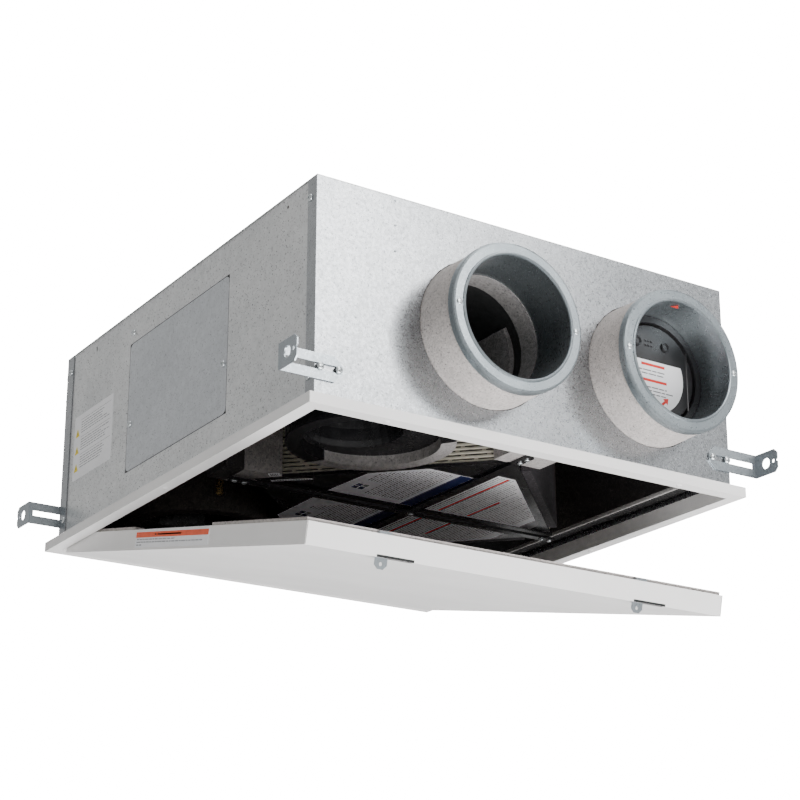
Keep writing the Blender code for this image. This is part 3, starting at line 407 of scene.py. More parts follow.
FRONT_METAL = galvanised("galvanised_front", (0.45, 0.465, 0.48), (0.38, 0.395, 0.41), 0.27, 1.2, 1.0)
SIDE_METAL = galvanised("galvanised_side", (0.78, 0.785, 0.785), (0.66, 0.67, 0.675), 0.36, 1.3)
COVER_METAL = galvanised("galvanised_cover", (0.61, 0.63, 0.655), (0.55, 0.57, 0.595), 0.33, 0.8)
RING_ZINC = zinc("zinc_ring", (0.33, 0.365, 0.385), (0.27, 0.305, 0.325), 0.30)
BRACKET_ZINC = zinc("zinc_bracket", (0.42, 0.455, 0.48), (0.34, 0.375, 0.40), 0.30)
SCREW_ZINC = zinc("zinc_screw", (0.70, 0.73, 0.74), (0.58, 0.61, 0.62), 0.20)
WHITE_PAINT = paint("white_paint", (0.82, 0.805, 0.795), (0.77, 0.755, 0.745), 0.42)
LIGHT_FOAM = bead_foam("speckled_foam", (0.56, 0.52, 0.50), (0.40, 0.37, 0.355), (0.08, 0.075, 0.075), 0.8)
GREY_TONES = ((0.27, 0.255, 0.25), (0.17, 0.16, 0.157), (0.035, 0.035, 0.035), 0.8)
GREY_FOAM = bead_foam("speckled_foam_grey", *GREY_TONES)
HOLDER_TONES = ((0.38, 0.355, 0.345), (0.26, 0.245, 0.24), (0.05, 0.05, 0.05), 0.7)
HOLDER_FOAM = bead_foam("speckled_foam_shade", *HOLDER_TONES)
SCROLL_FOAM = two_tone_foam("speckled_foam_scroll")
BLACK_FOAM = dark_foam("black_foam", (0.010, 0.009, 0.009), (0.026, 0.022, 0.021), 0.5)
BROWN_FOAM = dark_foam("brown_foam", (0.020, 0.016, 0.014), (0.050, 0.041, 0.036), 0.3)
BLACK_GLOSS = gloss("black_gloss", (0.004, 0.004, 0.0045), 0.20)
BLACK_PLASTIC = gloss("black_plastic", (0.010, 0.010, 0.011), 0.30)
BLACK_TRIM = gloss("black_trim", (0.008, 0.008, 0.008), 0.28, 0.6)
CREAM = plain("cream_plastic", (0.42, 0.40, 0.335), 0.55, 0.18, 60.0)
# Near-black for the block inside the core: painted shade in the gaps between the plates.
CORE_GAP_SHADE = plain("core_gap_shade", (0.016, 0.013, 0.010), 0.7, 0.3)
FLEECE = dark_foam("filter_fleece", (0.014, 0.012, 0.014), (0.040, 0.035, 0.040), 0.9)
BOARD = plain("board_green", (0.02, 0.10, 0.05), 0.45, 0.3, 220.0)
BRASS = zinc("brass", (0.62, 0.44, 0.18), (0.50, 0.34, 0.13), 0.28)
PAPER = plain("label_paper", (0.87, 0.865, 0.88), 0.34, 0.03, 40.0)
# Papers of the stickers under the core: the lilac tint is the paper's own, but both are made lighter than PAPER
# as painted light for the dim inside of the unit.
PAPER_LILAC = plain("label_lilac", (0.93, 0.925, 0.985), 0.30, 0.05, 30.0)
PAPER_CORE_LIT = plain("label_core_lit", (0.96, 0.955, 0.97), 0.32, 0.03, 40.0)
INK_GREY = plain("ink_grey", (0.16, 0.16, 0.17), 0.5)
INK_FAINT = plain("ink_faint", (0.36, 0.36, 0.38), 0.5)
INK_RED = plain("ink_red", (0.62, 0.03, 0.02), 0.45)
INK_ORANGE = plain("ink_orange", (0.80, 0.10, 0.03), 0.45)
INK_NAVY = plain("ink_navy", (0.012, 0.022, 0.10), 0.4)
INK_YELLOW = plain("ink_yellow", (0.80, 0.62, 0.04), 0.45)
# Near-black for the door's corner seams, and painted shade in the left panel's holes, the latch slots and the
# duct behind the left ports.
SEAM_AND_SHADE_DARK = plain("seam_and_painted_shade", (0.012, 0.012, 0.012), 0.8, 0.3)
# Mid-grey for the patches on the core's black plate: painted reflection.
PLATE_SHEEN = plain("painted_plate_sheen", (0.17, 0.165, 0.17), 0.25, 0.1, 30.0)
TAPE_GREY = plain("gasket_tape", (0.33, 0.32, 0.31), 0.8, 0.2, 240.0)

FINISHES = {
    "front_panel": FRONT_METAL,
    "back_panel": FRONT_METAL,
    "right_panel": FRONT_METAL,
    "left_panel": SIDE_METAL,
    "top_panel": SIDE_METAL,
    "access_cover": COVER_METAL,
    "control_box": SIDE_METAL,
    "control_board": BOARD,
    "air_sensor": BRASS,
    "door_foam": LIGHT_FOAM,
    "door_pan": WHITE_PAINT,
    "fan_scroll_back": BROWN_FOAM,
    "fan_scroll_front": SCROLL_FOAM,
    "core_bottom_plate": BLACK_GLOSS,
    "core_top_plate": BLACK_GLOSS,
    "core_plates": CREAM,
    "damper_ring": BLACK_PLASTIC,
    "damper_flap": BLACK_PLASTIC,
}
FINISH_GROUPS = (
    ("ring_", RING_ZINC),
    ("hanger_", BRACKET_ZINC),
    ("hinge_", BRACKET_ZINC),
    ("latch_", BRACKET_ZINC),
    ("motor_", BRACKET_ZINC),
    ("flange_", WHITE_PAINT),
    ("collar_", LIGHT_FOAM),
    ("corner_holder_", HOLDER_FOAM),
    ("fan_scroll_", GREY_FOAM),
    ("liner_", BLACK_FOAM),
    ("inlet_ring_", BLACK_GLOSS),
    ("retaining_bar_", BLACK_GLOSS),
    ("impeller_", BLACK_PLASTIC),
    ("cable_bushing_", BLACK_PLASTIC),
    ("filter_", FLEECE),
)


def finish_nodes():
    """Puts a material on every CAD node, by its name or by how its name starts."""
    for name, node in NODES.items():
        material = FINISHES.get(name)
        for start, group in FINISH_GROUPS:
            if material is None and name.startswith(start):
                material = group
        for slot in node.material_slots:
            slot.material = material


# ----------------------------------------------------------------- geometry


def piece(name, bm, materials, body, angle=35.0):
    """Turns a bmesh into a piece that rides on a CAD body."""
    bmesh.ops.recalc_face_normals(bm, faces=bm.faces)
    mesh = bpy.data.meshes.new(name)
    bm.to_mesh(mesh)
    bm.free()
    for material in materials:
        mesh.materials.append(material)
    mesh.shade_smooth()
    mesh.set_sharp_from_angle(angle=math.radians(angle))
    made = bpy.data.objects.new(name, mesh)
    bpy.context.scene.collection.objects.link(made)
    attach(made, body)
    return made


def add_loft(bm, loops, index=0, closed=False):
    """Joins loops of points, with caps unless the last loop joins the first."""
    rings = [[bm.verts.new(p) for p in loop] for loop in loops]
    count = len(rings[0])
    pairs = list(zip(rings, rings[1:]))
    if closed:
        pairs.append((rings[-1], rings[0]))
    for one, two in pairs:
        for i in range(count):
            j = (i + 1) % count
            bm.faces.new((one[i], one[j], two[j], two[i])).material_index = index
    if not closed:
        bm.faces.new(rings[0][::-1]).material_index = index
        bm.faces.new(rings[-1]).material_index = index


def add_box(bm, low, high, index=0):
    x0, y0, z0 = low
    x1, y1, z1 = high
    loops = [[(x0, y0, z), (x1, y0, z), (x1, y1, z), (x0, y1, z)] for z in (z0, z1)]
    add_loft(bm, loops, index)


def add_turned(bm, profile, place, steps=24, index=0):
    """Turns a (radius, height) profile about local Z; the ends are capped."""
    loops = []
    for radius, height in profile:
        ring = []
        for i in range(steps):
            a = 2.0 * math.pi * i / steps
            ring.append(place @ Vector((radius * math.cos(a), radius * math.sin(a), height)))
        loops.append(ring)
    add_loft(bm, loops, index)


def axes(origin, x_axis, y_axis):
    """Matrix whose local X and Y lie along the given directions."""
    x = Vector(x_axis).normalized()
    z = x.cross(Vector(y_axis)).normalized()
    y = z.cross(x)
    matrix = Matrix((x, y, z)).transposed().to_4x4()
    matrix.translation = Vector(origin)
    return matrix


def facing(origin, normal):
    """Matrix whose local Z lies along the normal; local Y is up unless the normal is upright."""
    normal = Vector(normal)
    if abs(normal.z) < 0.9:
        up = Vector((0, 0, 1))
        return axes(origin, up.cross(normal), up)
    side = Vector((1, 0, 0)).cross(normal)
    return axes(origin, side, normal.cross(side))


def add_plate(bm, place, outline, low, high, index=0):
    """A thin plate with a flat outline in the local plane."""
    loops = [[place @ Vector((x, y, z)) for x, y in outline] for z in (low, high)]
    add_loft(bm, loops, index)


def rectangle(x0, y0, x1, y1):
    return [(x0, y0), (x1, y0), (x1, y1), (x0, y1)]


def rounded(x0, y0, x1, y1, r, steps=4):
    """A rectangle with corners of radius r."""
    points = []
    corners = (
        (x1 - r, y0 + r, -90),
        (x1 - r, y1 - r, 0),
        (x0 + r, y1 - r, 90),
        (x0 + r, y0 + r, 180),
    )
    for cx, cy, start in corners:
        for i in range(steps + 1):
            a = math.radians(start + 90.0 * i / steps)
            points.append((cx + r * math.cos(a), cy + r * math.sin(a)))
    return points


def label(name, body, place, outline, marks, materials):
    """A sticker with raised ink: marks are (outline, material index)."""
    bm = bmesh.new()
    add_plate(bm, place, outline, 0.0, STICKER_THICK)
    for mark, index in marks:
        add_plate(bm, place, mark, STICKER_THICK - INK_THICK, STICKER_THICK + INK_THICK, index)
    return piece(name, bm, materials, body)


def flipped(points):
    """An outline as seen from below, where local Y is turned round."""
    return [(x, -y) for x, y in points]


def draw(state):
    """The next state of a fixed sequence, and how far along its range it is, from 0 to 1."""
    state = (state * 1103515245 + 12345) % DRAW_RANGE
    return state, state / DRAW_RANGE


def text_lines(x0, x1, top, pitch, count, height, index, seed, gap=0.0012, low=0.004, high=0.011):
    """Rows of short bars that stand for lines of small print."""
    marks = []
    state = seed
    for row in range(count):
        x = x0
        y = top - row * pitch
        state, share = draw(state)
        end = x1 - (x1 - x0) * 0.35 * share
        while x < end:
            state, share = draw(state)
            stop = min(end, x + (low + (high - low) * share))
            if stop - x > 0.0008:
                marks.append((rectangle(x, y - height, stop, y), index))
            x = stop + gap
    return marks


def screw_mesh():
    """A Phillips pan head of radius 1 and height 0.6, with a cross recess."""
    profile = [(0.94, 0.0), (1.0, 0.10), (0.99, 0.24), (0.92, 0.38), (0.76, 0.50), (0.5, 0.57), (0.2, 0.60)]
    bm = bmesh.new()
    add_turned(bm, profile, Matrix(), 28)
    head = bpy.data.meshes.new("screw_head")
    bm.to_mesh(head)
    bm.free()
    cutter_bm = bmesh.new()
    for turn in (0.0, math.pi / 2):
        place = Matrix.Rotation(turn, 4, "Z")
        foot = [(-0.30, -0.05, 0.22), (0.30, -0.05, 0.22), (0.30, 0.05, 0.22), (-0.30, 0.05, 0.22)]
        top = [(-0.62, -0.13, 0.8), (0.62, -0.13, 0.8), (0.62, 0.13, 0.8), (-0.62, 0.13, 0.8)]
        add_loft(cutter_bm, [[place @ Vector(p) for p in foot], [place @ Vector(p) for p in top]])
    cut = bpy.data.meshes.new("screw_cut")
    cutter_bm.to_mesh(cut)
    cutter_bm.free()
    head_object = bpy.data.objects.new("screw_head", head)
    cut_object = bpy.data.objects.new("screw_cut", cut)
    for made in (head_object, cut_object):
        bpy.context.scene.collection.objects.link(made)
    modifier = head_object.modifiers.new("recess", "BOOLEAN")
    modifier.object = cut_object
    modifier.solver = "EXACT"
    modifier.use_self = True
    graph = bpy.context.evaluated_depsgraph_get()
    result = bpy.data.meshes.new_from_object(head_object.evaluated_get(graph))
    for made in (head_object, cut_object):
        bpy.data.objects.remove(made)
    return result


SCREW = screw_mesh()


def screws(name, body, places):
    """Screw heads at (centre, outward normal, radius, height, turn in degrees)."""
    bm = bmesh.new()
    for centre, normal, radius, height, turn in places:
        part = bmesh.new()
        part.from_mesh(SCREW)
        scale = Matrix.Diagonal((radius, radius, height / 0.6, 1.0))
        matrix = facing(centre, normal) @ Matrix.Rotation(math.radians(turn), 4, "Z") @ scale
        bmesh.ops.transform(part, matrix=matrix, verts=part.verts)
        spare = bpy.data.meshes.new("part")
        part.to_mesh(spare)
        part.free()
        bm.from_mesh(spare)
        bpy.data.meshes.remove(spare)
    return piece(name, bm, [SCREW_ZINC], body, 30.0)


def make_screws():
    """Screw heads of the panels, the duct rings, the bracket clamps and the core's bars."""
    panels = [((PANEL_LEFT, y, z), (-1, 0, 0), *PANEL_SCREW, turn) for y, z, turn in COVER_SCREWS]
    for side in (-1, 1):
        for y, z, turn in RETURN_SCREWS:
            panels.append(((side * RETURN_FACE, y, z), (side, 0, 0), *PANEL_SCREW, turn + 9 * side))
    screws("panel_screws", "casing", panels)
    for end, sign in (("front", -1), ("back", 1)):
        rings = []
        for n, x in enumerate(PORT_X):
            for side in (-1, 1):
                place = (x + side * RING_SCREW_REACH, sign * RING_FACE, PORT_Z)
                rings.append((place, (0, sign, 0), *RING_SCREW, 25 + 40 * n + 15 * side))
        screws(f"ring_screws_{end}", "casing", rings)
        clamps = []
        for side in (-1, 1):
            for x, turn in CLAMP_SCREWS:
                place = (side * x, sign * CLAMP_FACE, CLAMP_Z)
                clamps.append((place, (0, sign, 0), *CLAMP_SCREW, turn * side))
        screws(f"clamp_screws_{end}", "casing", clamps)
    bars = [((x, CORE_Y, WIDE_BAR_FACE), (0, 0, -1), *BAR_SCREW, turn) for x, turn in WIDE_BAR_SCREWS]
    bars += [((CORE_X, y, DEEP_BAR_FACE), (0, 0, -1), *BAR_SCREW, turn) for y, turn in DEEP_BAR_SCREWS]
    screws("bar_screws", "casing", bars)


def cap(bm, centre, normal, radius, height, index=0):
    """A shallow pressed dimple."""
    shares = ((1.0, 0.0), (0.86, 0.5), (0.55, 0.85), (0.15, 1.0))
    profile = [(radius * across, height * up) for across, up in shares]
    add_turned(bm, profile, facing(centre, normal), 16, index)


def make_panel_marks():
    """Pressed dimples in the front panel and the flange, and two small holes in the left panel, drawn as dark
    film for painted shade.
    """
    bm = bmesh.new()
    for x, z in FRONT_DIMPLES:
        cap(bm, (x, FRONT_FACE, z), (0, -1, 0), *FRONT_DIMPLE)
    piece("front_dimples", bm, [BRACKET_ZINC], "casing")
    bm = bmesh.new()
    # Dark film where the two holes are: painted shade.
    cap(bm, (PANEL_LEFT, -0.235, 0.217), (-1, 0, 0), 0.0016, FILM_THICK)
    place = axes((PANEL_LEFT, 0.2127, 0.213), (0, -1, 0), (0, 0, 1))
    add_plate(bm, place, rounded(0, 0, 0.0016, 0.006, 0.0007), 0, FILM_THICK)
    piece("left_panel_holes", bm, [SEAM_AND_SHADE_DARK], "casing")
    bm = bmesh.new()
    for x, y in FLANGE_DIMPLES:
        cap(bm, (x, y, FLANGE_FACE), (0, 0, -1), *FLANGE_DIMPLE)
    piece("flange_dimples", bm, [WHITE_PAINT], "casing")


def make_side_label():
    """Sticker on the left panel: three warning triangles, each beside a block of small print."""
    place = axes((PANEL_LEFT, 0.264, 0.066), (0, -1, 0), (0, 0, 1))
    marks = []
    for n in range(3):
        y = 0.0145 + 0.0215 * n
        marks.append(([(0.0035, y - 0.0045), (0.0145, y - 0.0045), (0.0090, y + 0.0055)], 2))
        marks.append((rectangle(0.0086, y - 0.0022, 0.0094, y + 0.0020), 1))
    for n, top in enumerate((0.069, 0.0475, 0.026)):
        marks.append((rectangle(0.018, top + 0.0028, 0.100, top + 0.0031), 1))
        marks += text_lines(0.019, 0.100, top, 0.0031, 5, 0.0010, 3, 11 + n)
    materials = [PAPER, INK_GREY, INK_YELLOW, INK_FAINT]
    label("side_label", "casing", place, rounded(0, 0, *SIDE_STICKER, 0.0015), marks, materials)


def make_core_labels():
    """Stickers under the core: two with a navy band, two with red stripes and two small ones."""
    down = axes((0, 0, PLATE_Z), (1, 0, 0), (0, -1, 0))
    materials = [PAPER_LILAC, INK_GREY, INK_NAVY, INK_FAINT, INK_RED]
    for name, outline, (band_low, band_high), start, reach in LEFT_STICKERS:
        marks = [(flipped(rectangle(BAND_XS[0], band_low, BAND_XS[1], band_high)), 2)]
        marks += upright_text(start, reach, 21)
        label(f"core_label_left_{name}", "casing", down, flipped(outline), marks, materials)
    materials = [PAPER_CORE_LIT, INK_GREY, INK_NAVY, INK_FAINT, INK_RED]
    for name, outline, seed in RIGHT_STICKERS:
        marks = right_marks(outline, seed)
        label(f"core_label_right_{name}", "casing", down, flipped(outline), marks, materials)
    bm = bmesh.new()
    corner = axes((-0.1490, -0.0170, PLATE_Z), (0.0350, -0.0311, 0), (-0.0311, -0.0350, 0))
    add_plate(bm, corner, rounded(0, -0.0045, 0.0460, 0.0, 0.0012), 0, STICKER_THICK)
    add_plate(bm, corner, rounded(0.002, 0.0120, 0.0150, 0.0230, 0.0008), 0, STICKER_THICK)
    for n in range(14):
        x = 0.004 + 0.0029 * n
        bar = rectangle(x, -0.0032, x + 0.0018, -0.0014)
        add_plate(bm, corner, bar, STICKER_THICK, STICKER_THICK + INK_THICK, 1)
    for n in range(5):
        x = 0.0040 + 0.0018 * n
        bar = rectangle(x, 0.0140, x + 0.0009, 0.0210)
        add_plate(bm, corner, bar, STICKER_THICK, STICKER_THICK + INK_THICK, 1)
    piece("core_small_labels", bm, [PAPER_CORE_LIT, INK_GREY], "casing")


def inside(outline, x, y):
    """Whether a point is inside a convex or concave outline."""
    hit = False
    for (x0, y0), (x1, y1) in zip(outline, outline[1:] + outline[:1]):
        if (y0 > y) != (y1 > y) and x < (x1 - x0) * (y - y0) / (y1 - y0) + x0:
            hit = not hit
    return hit


def upright_text(start, reach, seed):
    """Lines of print that run along Y on a left sticker, and a plain badge."""
    marks = []
    state = seed
    for row in range(20):
        x = -0.062 + 0.0036 * row
        y = start - (0.004 if row > 5 else 0.045)
        end = start - reach + max(0.0, -0.024 - x) * 0.9
        while y > end:
            state, share = draw(state)
            stop = max(end, y - (0.003 + 0.008 * share))
            if y - stop > 0.001:
                marks.append((rectangle(x, -stop, x + 0.0010, -y), 3 if row % 3 else 1))
            y = stop - 0.0016
    for n, (right, up) in enumerate(((0, 0), (0.008, 0.0), (0.0, 0.009), (0.008, 0.009))):
        x = -0.064 + right
        y = start - 0.030 + up
        marks.append((rectangle(x, -y, x + 0.006, -y - 0.007), 3 if n == 1 else 2))
    return marks


def right_marks(outline, seed):
    """Red stripes and print that run along Y on a right sticker; the second stripe is shorter."""
    marks = []
    state = seed
    low = min(p[1] for p in outline) + 0.004
    high = max(p[1] for p in outline) - 0.004
    for row in range(30):
        x = 0.0510 + 0.0040 * row
        stripe = row in (3, 13)
        thick = 0.0032 if stripe else 0.0009
        index = 4 if stripe else (1 if row % 4 == 0 else 3)
        y = low
        while y < high:
            state, share = draw(state)
            width = 0.0060 if stripe else 0.004 + 0.010 * share
            stop = min(high, y + width)
            corners = rectangle(x, y, x + thick, stop)
            skip = row == 13 and not -0.090 <= y <= 0.060
            if not skip and all(inside(outline, px, py) for px, py in corners):
                marks.append((flipped(corners), index))
            y = stop + (0.0 if stripe else 0.0013)
    return marks


def make_core():
    """Stacked plates with rounded cream edges, bosses in the gaps between them, and a near-black block behind
    them as painted shade deep in the gaps.
    """
    (low_x, low_y, low), (high_x, high_y, high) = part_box("core_plates")
    half = (high_y - low_y) / 2
    centre_x = (low_x + high_x) / 2
    centre_y = (low_y + high_y) / 2
    count = int((high - low) / STACK_PITCH)
    bosses = 9
    bm = bmesh.new()

    def diamond(r, z):
        return [(centre_x + r, centre_y, z), (centre_x, centre_y + r, z),
                (centre_x - r, centre_y, z), (centre_x, centre_y - r, z)]

    # A near-black block inside the stack: painted shade deep in the gaps between the plates.
    inner = half - 0.0058
    add_loft(bm, [diamond(inner, low + 0.0002), diamond(inner, low + STACK_PITCH * count - 0.0002)], 1)
    for n in range(count):
        z = low + STACK_PITCH * n + 0.0002
        loops = [diamond(half - 0.0012, z), diamond(half - 0.0002, z + 0.0005),
                 diamond(half - 0.0002, z + 0.0021), diamond(half - 0.0012, z + 0.0028)]
        add_loft(bm, loops, 0)
        if n == count - 1:
            continue
        for side in range(4):
            turn = Matrix.Translation((centre_x, centre_y, 0)) @ Matrix.Rotation(side * math.pi / 2, 4, "Z")
            for k in range(bosses):
                t = -0.92 + 1.84 * (k + (0.5 if n % 2 else 0.15 * (n % 3))) / bosses
                s = half - 0.0030
                place = turn @ axes((s * (1 - t) / 2, s * (1 + t) / 2, z + 0.0036), (-1, 1, 0), (0, 0, 1))
                boss = rounded(-0.0022, -0.0009, 0.0022, 0.0009, 0.0008, 2)
                add_plate(bm, place, boss, -0.0022, 0.0006, 0)
    made = piece("core_stack", bm, [CREAM, CORE_GAP_SHADE], "casing", 50.0)
    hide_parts("core_plates")


def make_damper_details():
    """The flap's sticker and moulded marks, and the small red arrow at the top of the sleeve."""
    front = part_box("damper_flap")[0][1]
    place = axes((PORT_X[1], front, PORT_Z), (1, 0, 0), (0, 0, 1))
    outline = []
    radius = 0.0430
    chord = 0.0150
    for i in range(41):
        a = math.radians(160 + 220 * i / 40)
        outline.append((radius * math.cos(a) - 0.004, min(radius * math.sin(a), chord) - 0.002))
    marks = [(rectangle(-0.018, 0.0065, 0.014, 0.0095), 2), (rectangle(-0.018, -0.0110, 0.016, -0.0080), 2)]
    marks += text_lines(-0.030, 0.026, 0.0020, 0.0038, 2, 0.0012, 1, 5)
    marks += text_lines(-0.028, 0.028, -0.0165, 0.0038, 3, 0.0012, 1, 9)
    arrow = [(0.004, -0.036), (0.006, -0.038), (0.0140, -0.031), (0.0160, -0.033),
             (0.0175, -0.0255), (0.0100, -0.0270), (0.0118, -0.0290)]
    marks.append((arrow, 2))
    label("damper_label", "damper", place, outline, marks, [PAPER, INK_GREY, INK_RED])
    bm = bmesh.new()
    eyelet = [(0.0052, 0.0), (0.0052, 0.0012), (0.0044, 0.0016), (0.0036, 0.0012), (0.0034, 0.0002)]
    for x in (-0.022, 0.016):
        add_turned(bm, eyelet, facing((PORT_X[1] + x, front, PORT_Z + 0.032), (0, -1, 0)), 20)
    pip = [(0.0013, 0.0), (0.0012, 0.0004), (0.0007, 0.0005)]
    for n in range(6):
        x = PORT_X[1] - 0.010 + 0.004 * (n % 3)
        z = PORT_Z + 0.030 + 0.005 * (n // 3)
        add_turned(bm, pip, facing((x, front, z), (0, -1, 0)), 10)
    piece("damper_marks", bm, [BLACK_PLASTIC], "damper")
    bm = bmesh.new()
    arrow = [(-0.005, 0.0), (0.005, 0.0), (0.0, 0.006)]
    place = axes((PORT_X[1] + 0.002, -0.338, PORT_Z + 0.0632), (1, 0, 0), (0, -1, 0))
    add_plate(bm, place, arrow, 0, 0.0003)
    piece("sleeve_arrow", bm, [INK_RED], "casing")


def make_edge_trims():
    """Rounded black edging under each insulated wall, with a strip of grey gasket tape inside it."""
    section = [(0.0165, 0.0163), (0.0163, 0.0138), (0.0150, 0.0122), (0.0125, 0.0119), (0.0100, 0.0124),
               (0.0085, 0.0131), (0.0070, 0.0124), (0.0045, 0.0119), (0.0022, 0.0124), (0.0013, 0.0140),
               (0.0013, 0.0163)]
    tape = [(0.0197, 0.0163), (0.0197, 0.0128), (0.0192, 0.0122), (0.0174, 0.0122), (0.0169, 0.0128),
            (0.0169, 0.0163)]
    walls = (
        ("right", (0.2559, 0, 0), (-1, 0), (0, 1), 0.2700),
        ("left", (-0.2559, 0, 0), (1, 0), (0, 1), 0.2700),
        ("front", (0, -0.2914, 0), (0, 1), (1, 0), 0.2355),
        ("back", (0, 0.2914, 0), (0, -1), (1, 0), 0.2355),
    )
    kinds = (("edge_trim", section, BLACK_TRIM), ("gasket_tape", tape, TAPE_GREY))
    for name, origin, inward, along, reach in walls:
        for kind, outline, material in kinds:
            bm = bmesh.new()
            loops = []
            for step in range(9):
                run = -reach + 2 * reach * step / 8
                loops.append([(origin[0] + n * inward[0] + run * along[0],
                               origin[1] + n * inward[1] + run * along[1], z) for n, z in outline])
            add_loft(bm, loops)
            piece(f"{kind}_{name}", bm, [material], "casing", 50.0)


def ring_section(radii, span):
    """The four corners of a ring's section."""
    return [(radii[0], span[0]), (radii[1], span[0]), (radii[1], span[1]), (radii[0], span[1])]


def add_sector(bm, centre, radii, span, angles, index=0, steps=14):
    """A curved block between two radii, two places along Y and two angles."""
    loops = []
    for i in range(steps + 1):
        a = math.radians(angles[0] + (angles[1] - angles[0]) * i / steps)
        section = ring_section(radii, span)
        loops.append([(centre[0] + r * math.cos(a), y, centre[1] + r * math.sin(a)) for r, y in section])
    add_loft(bm, loops, index)


def add_swept(bm, centre, profile, steps):
    """Turns a closed (radius, Y) profile about a line along Y."""
    rings = []
    for i in range(steps):
        a = 2 * math.pi * i / steps
        rings.append([(centre[0] + r * math.cos(a), y, centre[1] + r * math.sin(a)) for r, y in profile])
    add_loft(bm, rings, 0, closed=True)


def tube(name, x, radii, span, material):
    """A thin-walled tube about a port's axis."""
    bm = bmesh.new()
    add_swept(bm, (x, PORT_Z), ring_section(radii, span), 64)
    piece(name, bm, [material], "casing", 50.0)


def make_ports():
    """Finely turned duct rings and foam collars."""
    ring = [
        (SLEEVE_INNER, -SLEEVE_LENGTH),
        (SLEEVE_INNER, -RING_LIP),
        (SLEEVE_INNER + RING_EASE * RING_LIP, -RING_EASE * RING_LIP),
        (SLEEVE_INNER + RING_LIP, 0.0),
        (SLEEVE_INNER + (2 - RING_EASE) * RING_LIP, -RING_EASE * RING_LIP),
        (SLEEVE_INNER + 2 * RING_LIP, -RING_RECESS),
        (RING_OUTER - RING_ROUND, -RING_RECESS),
        (RING_OUTER - RING_EASE * RING_ROUND, -RING_RECESS - RING_EASE * RING_ROUND),
        (RING_OUTER, -RING_RECESS - RING_ROUND),
        (RING_OUTER, -RING_SKIRT),
        (RING_OUTER - SHEET, -RING_SKIRT),
        (RING_OUTER - SHEET, -RING_RECESS - SHEET - RING_ROUND),
        (RING_OUTER - SHEET - RING_ROUND, -RING_RECESS - SHEET),
        (SLEEVE_INNER + SHEET, -RING_RECESS - SHEET),
        (SLEEVE_INNER + SHEET, -SLEEVE_LENGTH),
    ]
    root = COLLAR_END - PORT_FACE
    near = -(RING_RECESS + SHEET + GAP)
    bevel = RING_ROUND + COLLAR_EASE
    collar = [
        (SLEEVE_INNER + SHEET + GAP, near),
        (COLLAR_OUTER - bevel, near),
        (COLLAR_OUTER, near - bevel),
        (COLLAR_OUTER, -(RING_SKIRT + COLLAR_STEP)),
        (COLLAR_ROOT, root),
        (SLEEVE_INNER + SHEET + GAP, root),
    ]
    kinds = (("ring", ring, RING_ZINC, None), ("collar", collar, LIGHT_FOAM, "speckled_foam"))
    for end, sign in (("front", -1), ("back", 1)):
        for place, x in zip(("left", "right"), PORT_X):
            for kind, profile, material, slot in kinds:
                bm = bmesh.new()
                add_swept(bm, (x, PORT_Z), [(r, sign * (PORT_FACE + a)) for r, a in profile], 96)
                made = piece(f"fine_{kind}_{end}_{place}", bm, [material], "casing", 22.0)
                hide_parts(f"{kind}_{end}_{place}")


def make_throats():
    """Foam rings behind the sleeves, and behind the left ports a dark tube as painted shade in the duct, with
    the scroll's shoulder.
    """
    for end, sign in (("front", -1), ("back", 1)):
        for place, x in zip(("left", "right"), PORT_X):
            ends = [sign * y for y in THROAT_ENDS]
            tube(f"throat_{end}_{place}", x, THROAT_RADII, ends, GREY_FOAM)
        x = PORT_X[0]
        # A dark tube: painted shade deep in the duct.
        tube(f"duct_{end}", x, DUCT_SHADE_RADII, [sign * y for y in DUCT_SHADE_ENDS], SEAM_AND_SHADE_DARK)
        bm = bmesh.new()
        add_sector(bm, (x, PORT_Z), SHOULDER_RADII, [sign * y for y in SHOULDER_ENDS], SHOULDER_ANGLES)
        piece(f"duct_shoulder_{end}", bm, [GREY_FOAM], "casing", 50.0)


def make_core_sheen():
    """Grey patches beyond the right sticker's edge, as painted reflection on the glossy black plate."""
    down = axes((0, 0, PLATE_Z), (1, 0, 0), (0, -1, 0))
    bm = bmesh.new()
    for outline in SHEEN_PATCHES:
        add_plate(bm, down, flipped(outline), 0.0, FILM_THICK)
    piece("core_painted_sheen", bm, [PLATE_SHEEN], "casing")


def make_slot_shades():
    """Painted shade on the edges and inside of each latch slot."""
    door = door_matrix()
    bm = bmesh.new()
    for x in LATCH_XS:
        for low_y, high_y in SLOT_SHEETS:
            add_box(bm, (x - SLOT_REACH, low_y, SLOT_LOW), (x + SLOT_REACH, high_y, SLOT_HIGH))
        low = (x + SLOT_EDGE[0], DOOR_FRONT - FILM_THICK, DOOR_LOW + 0.0001)
        high = (x + SLOT_EDGE[1], DOOR_FRONT + 0.0002, DOOR_LOW + SLOT_EDGE_TOP)
        add_box(bm, low, high)
        mouth = axes((x + SLOT_MOUTH[0], SLOT_MOUTH[1], DOOR_LOW), (1, 0, 0), (0, -1, 0))
        outline = rounded(0.0, -SLOT_MOUTH_SIZE[1], SLOT_MOUTH_SIZE[0], 0.0, 0.0006)
        add_plate(bm, mouth, outline, -0.0002, FILM_THICK)
    bmesh.ops.transform(bm, matrix=door, verts=bm.verts)
    piece("latch_slot_shades", bm, [SEAM_AND_SHADE_DARK], "door")


def door_matrix():
    """From the closed door's place to its place at rest, swung about the hinge."""
    pivot = Matrix.Translation((0, HINGE_Y, HINGE_Z))
    return pivot @ Matrix.Rotation(DOOR_OPEN, 4, "X") @ pivot.inverted()


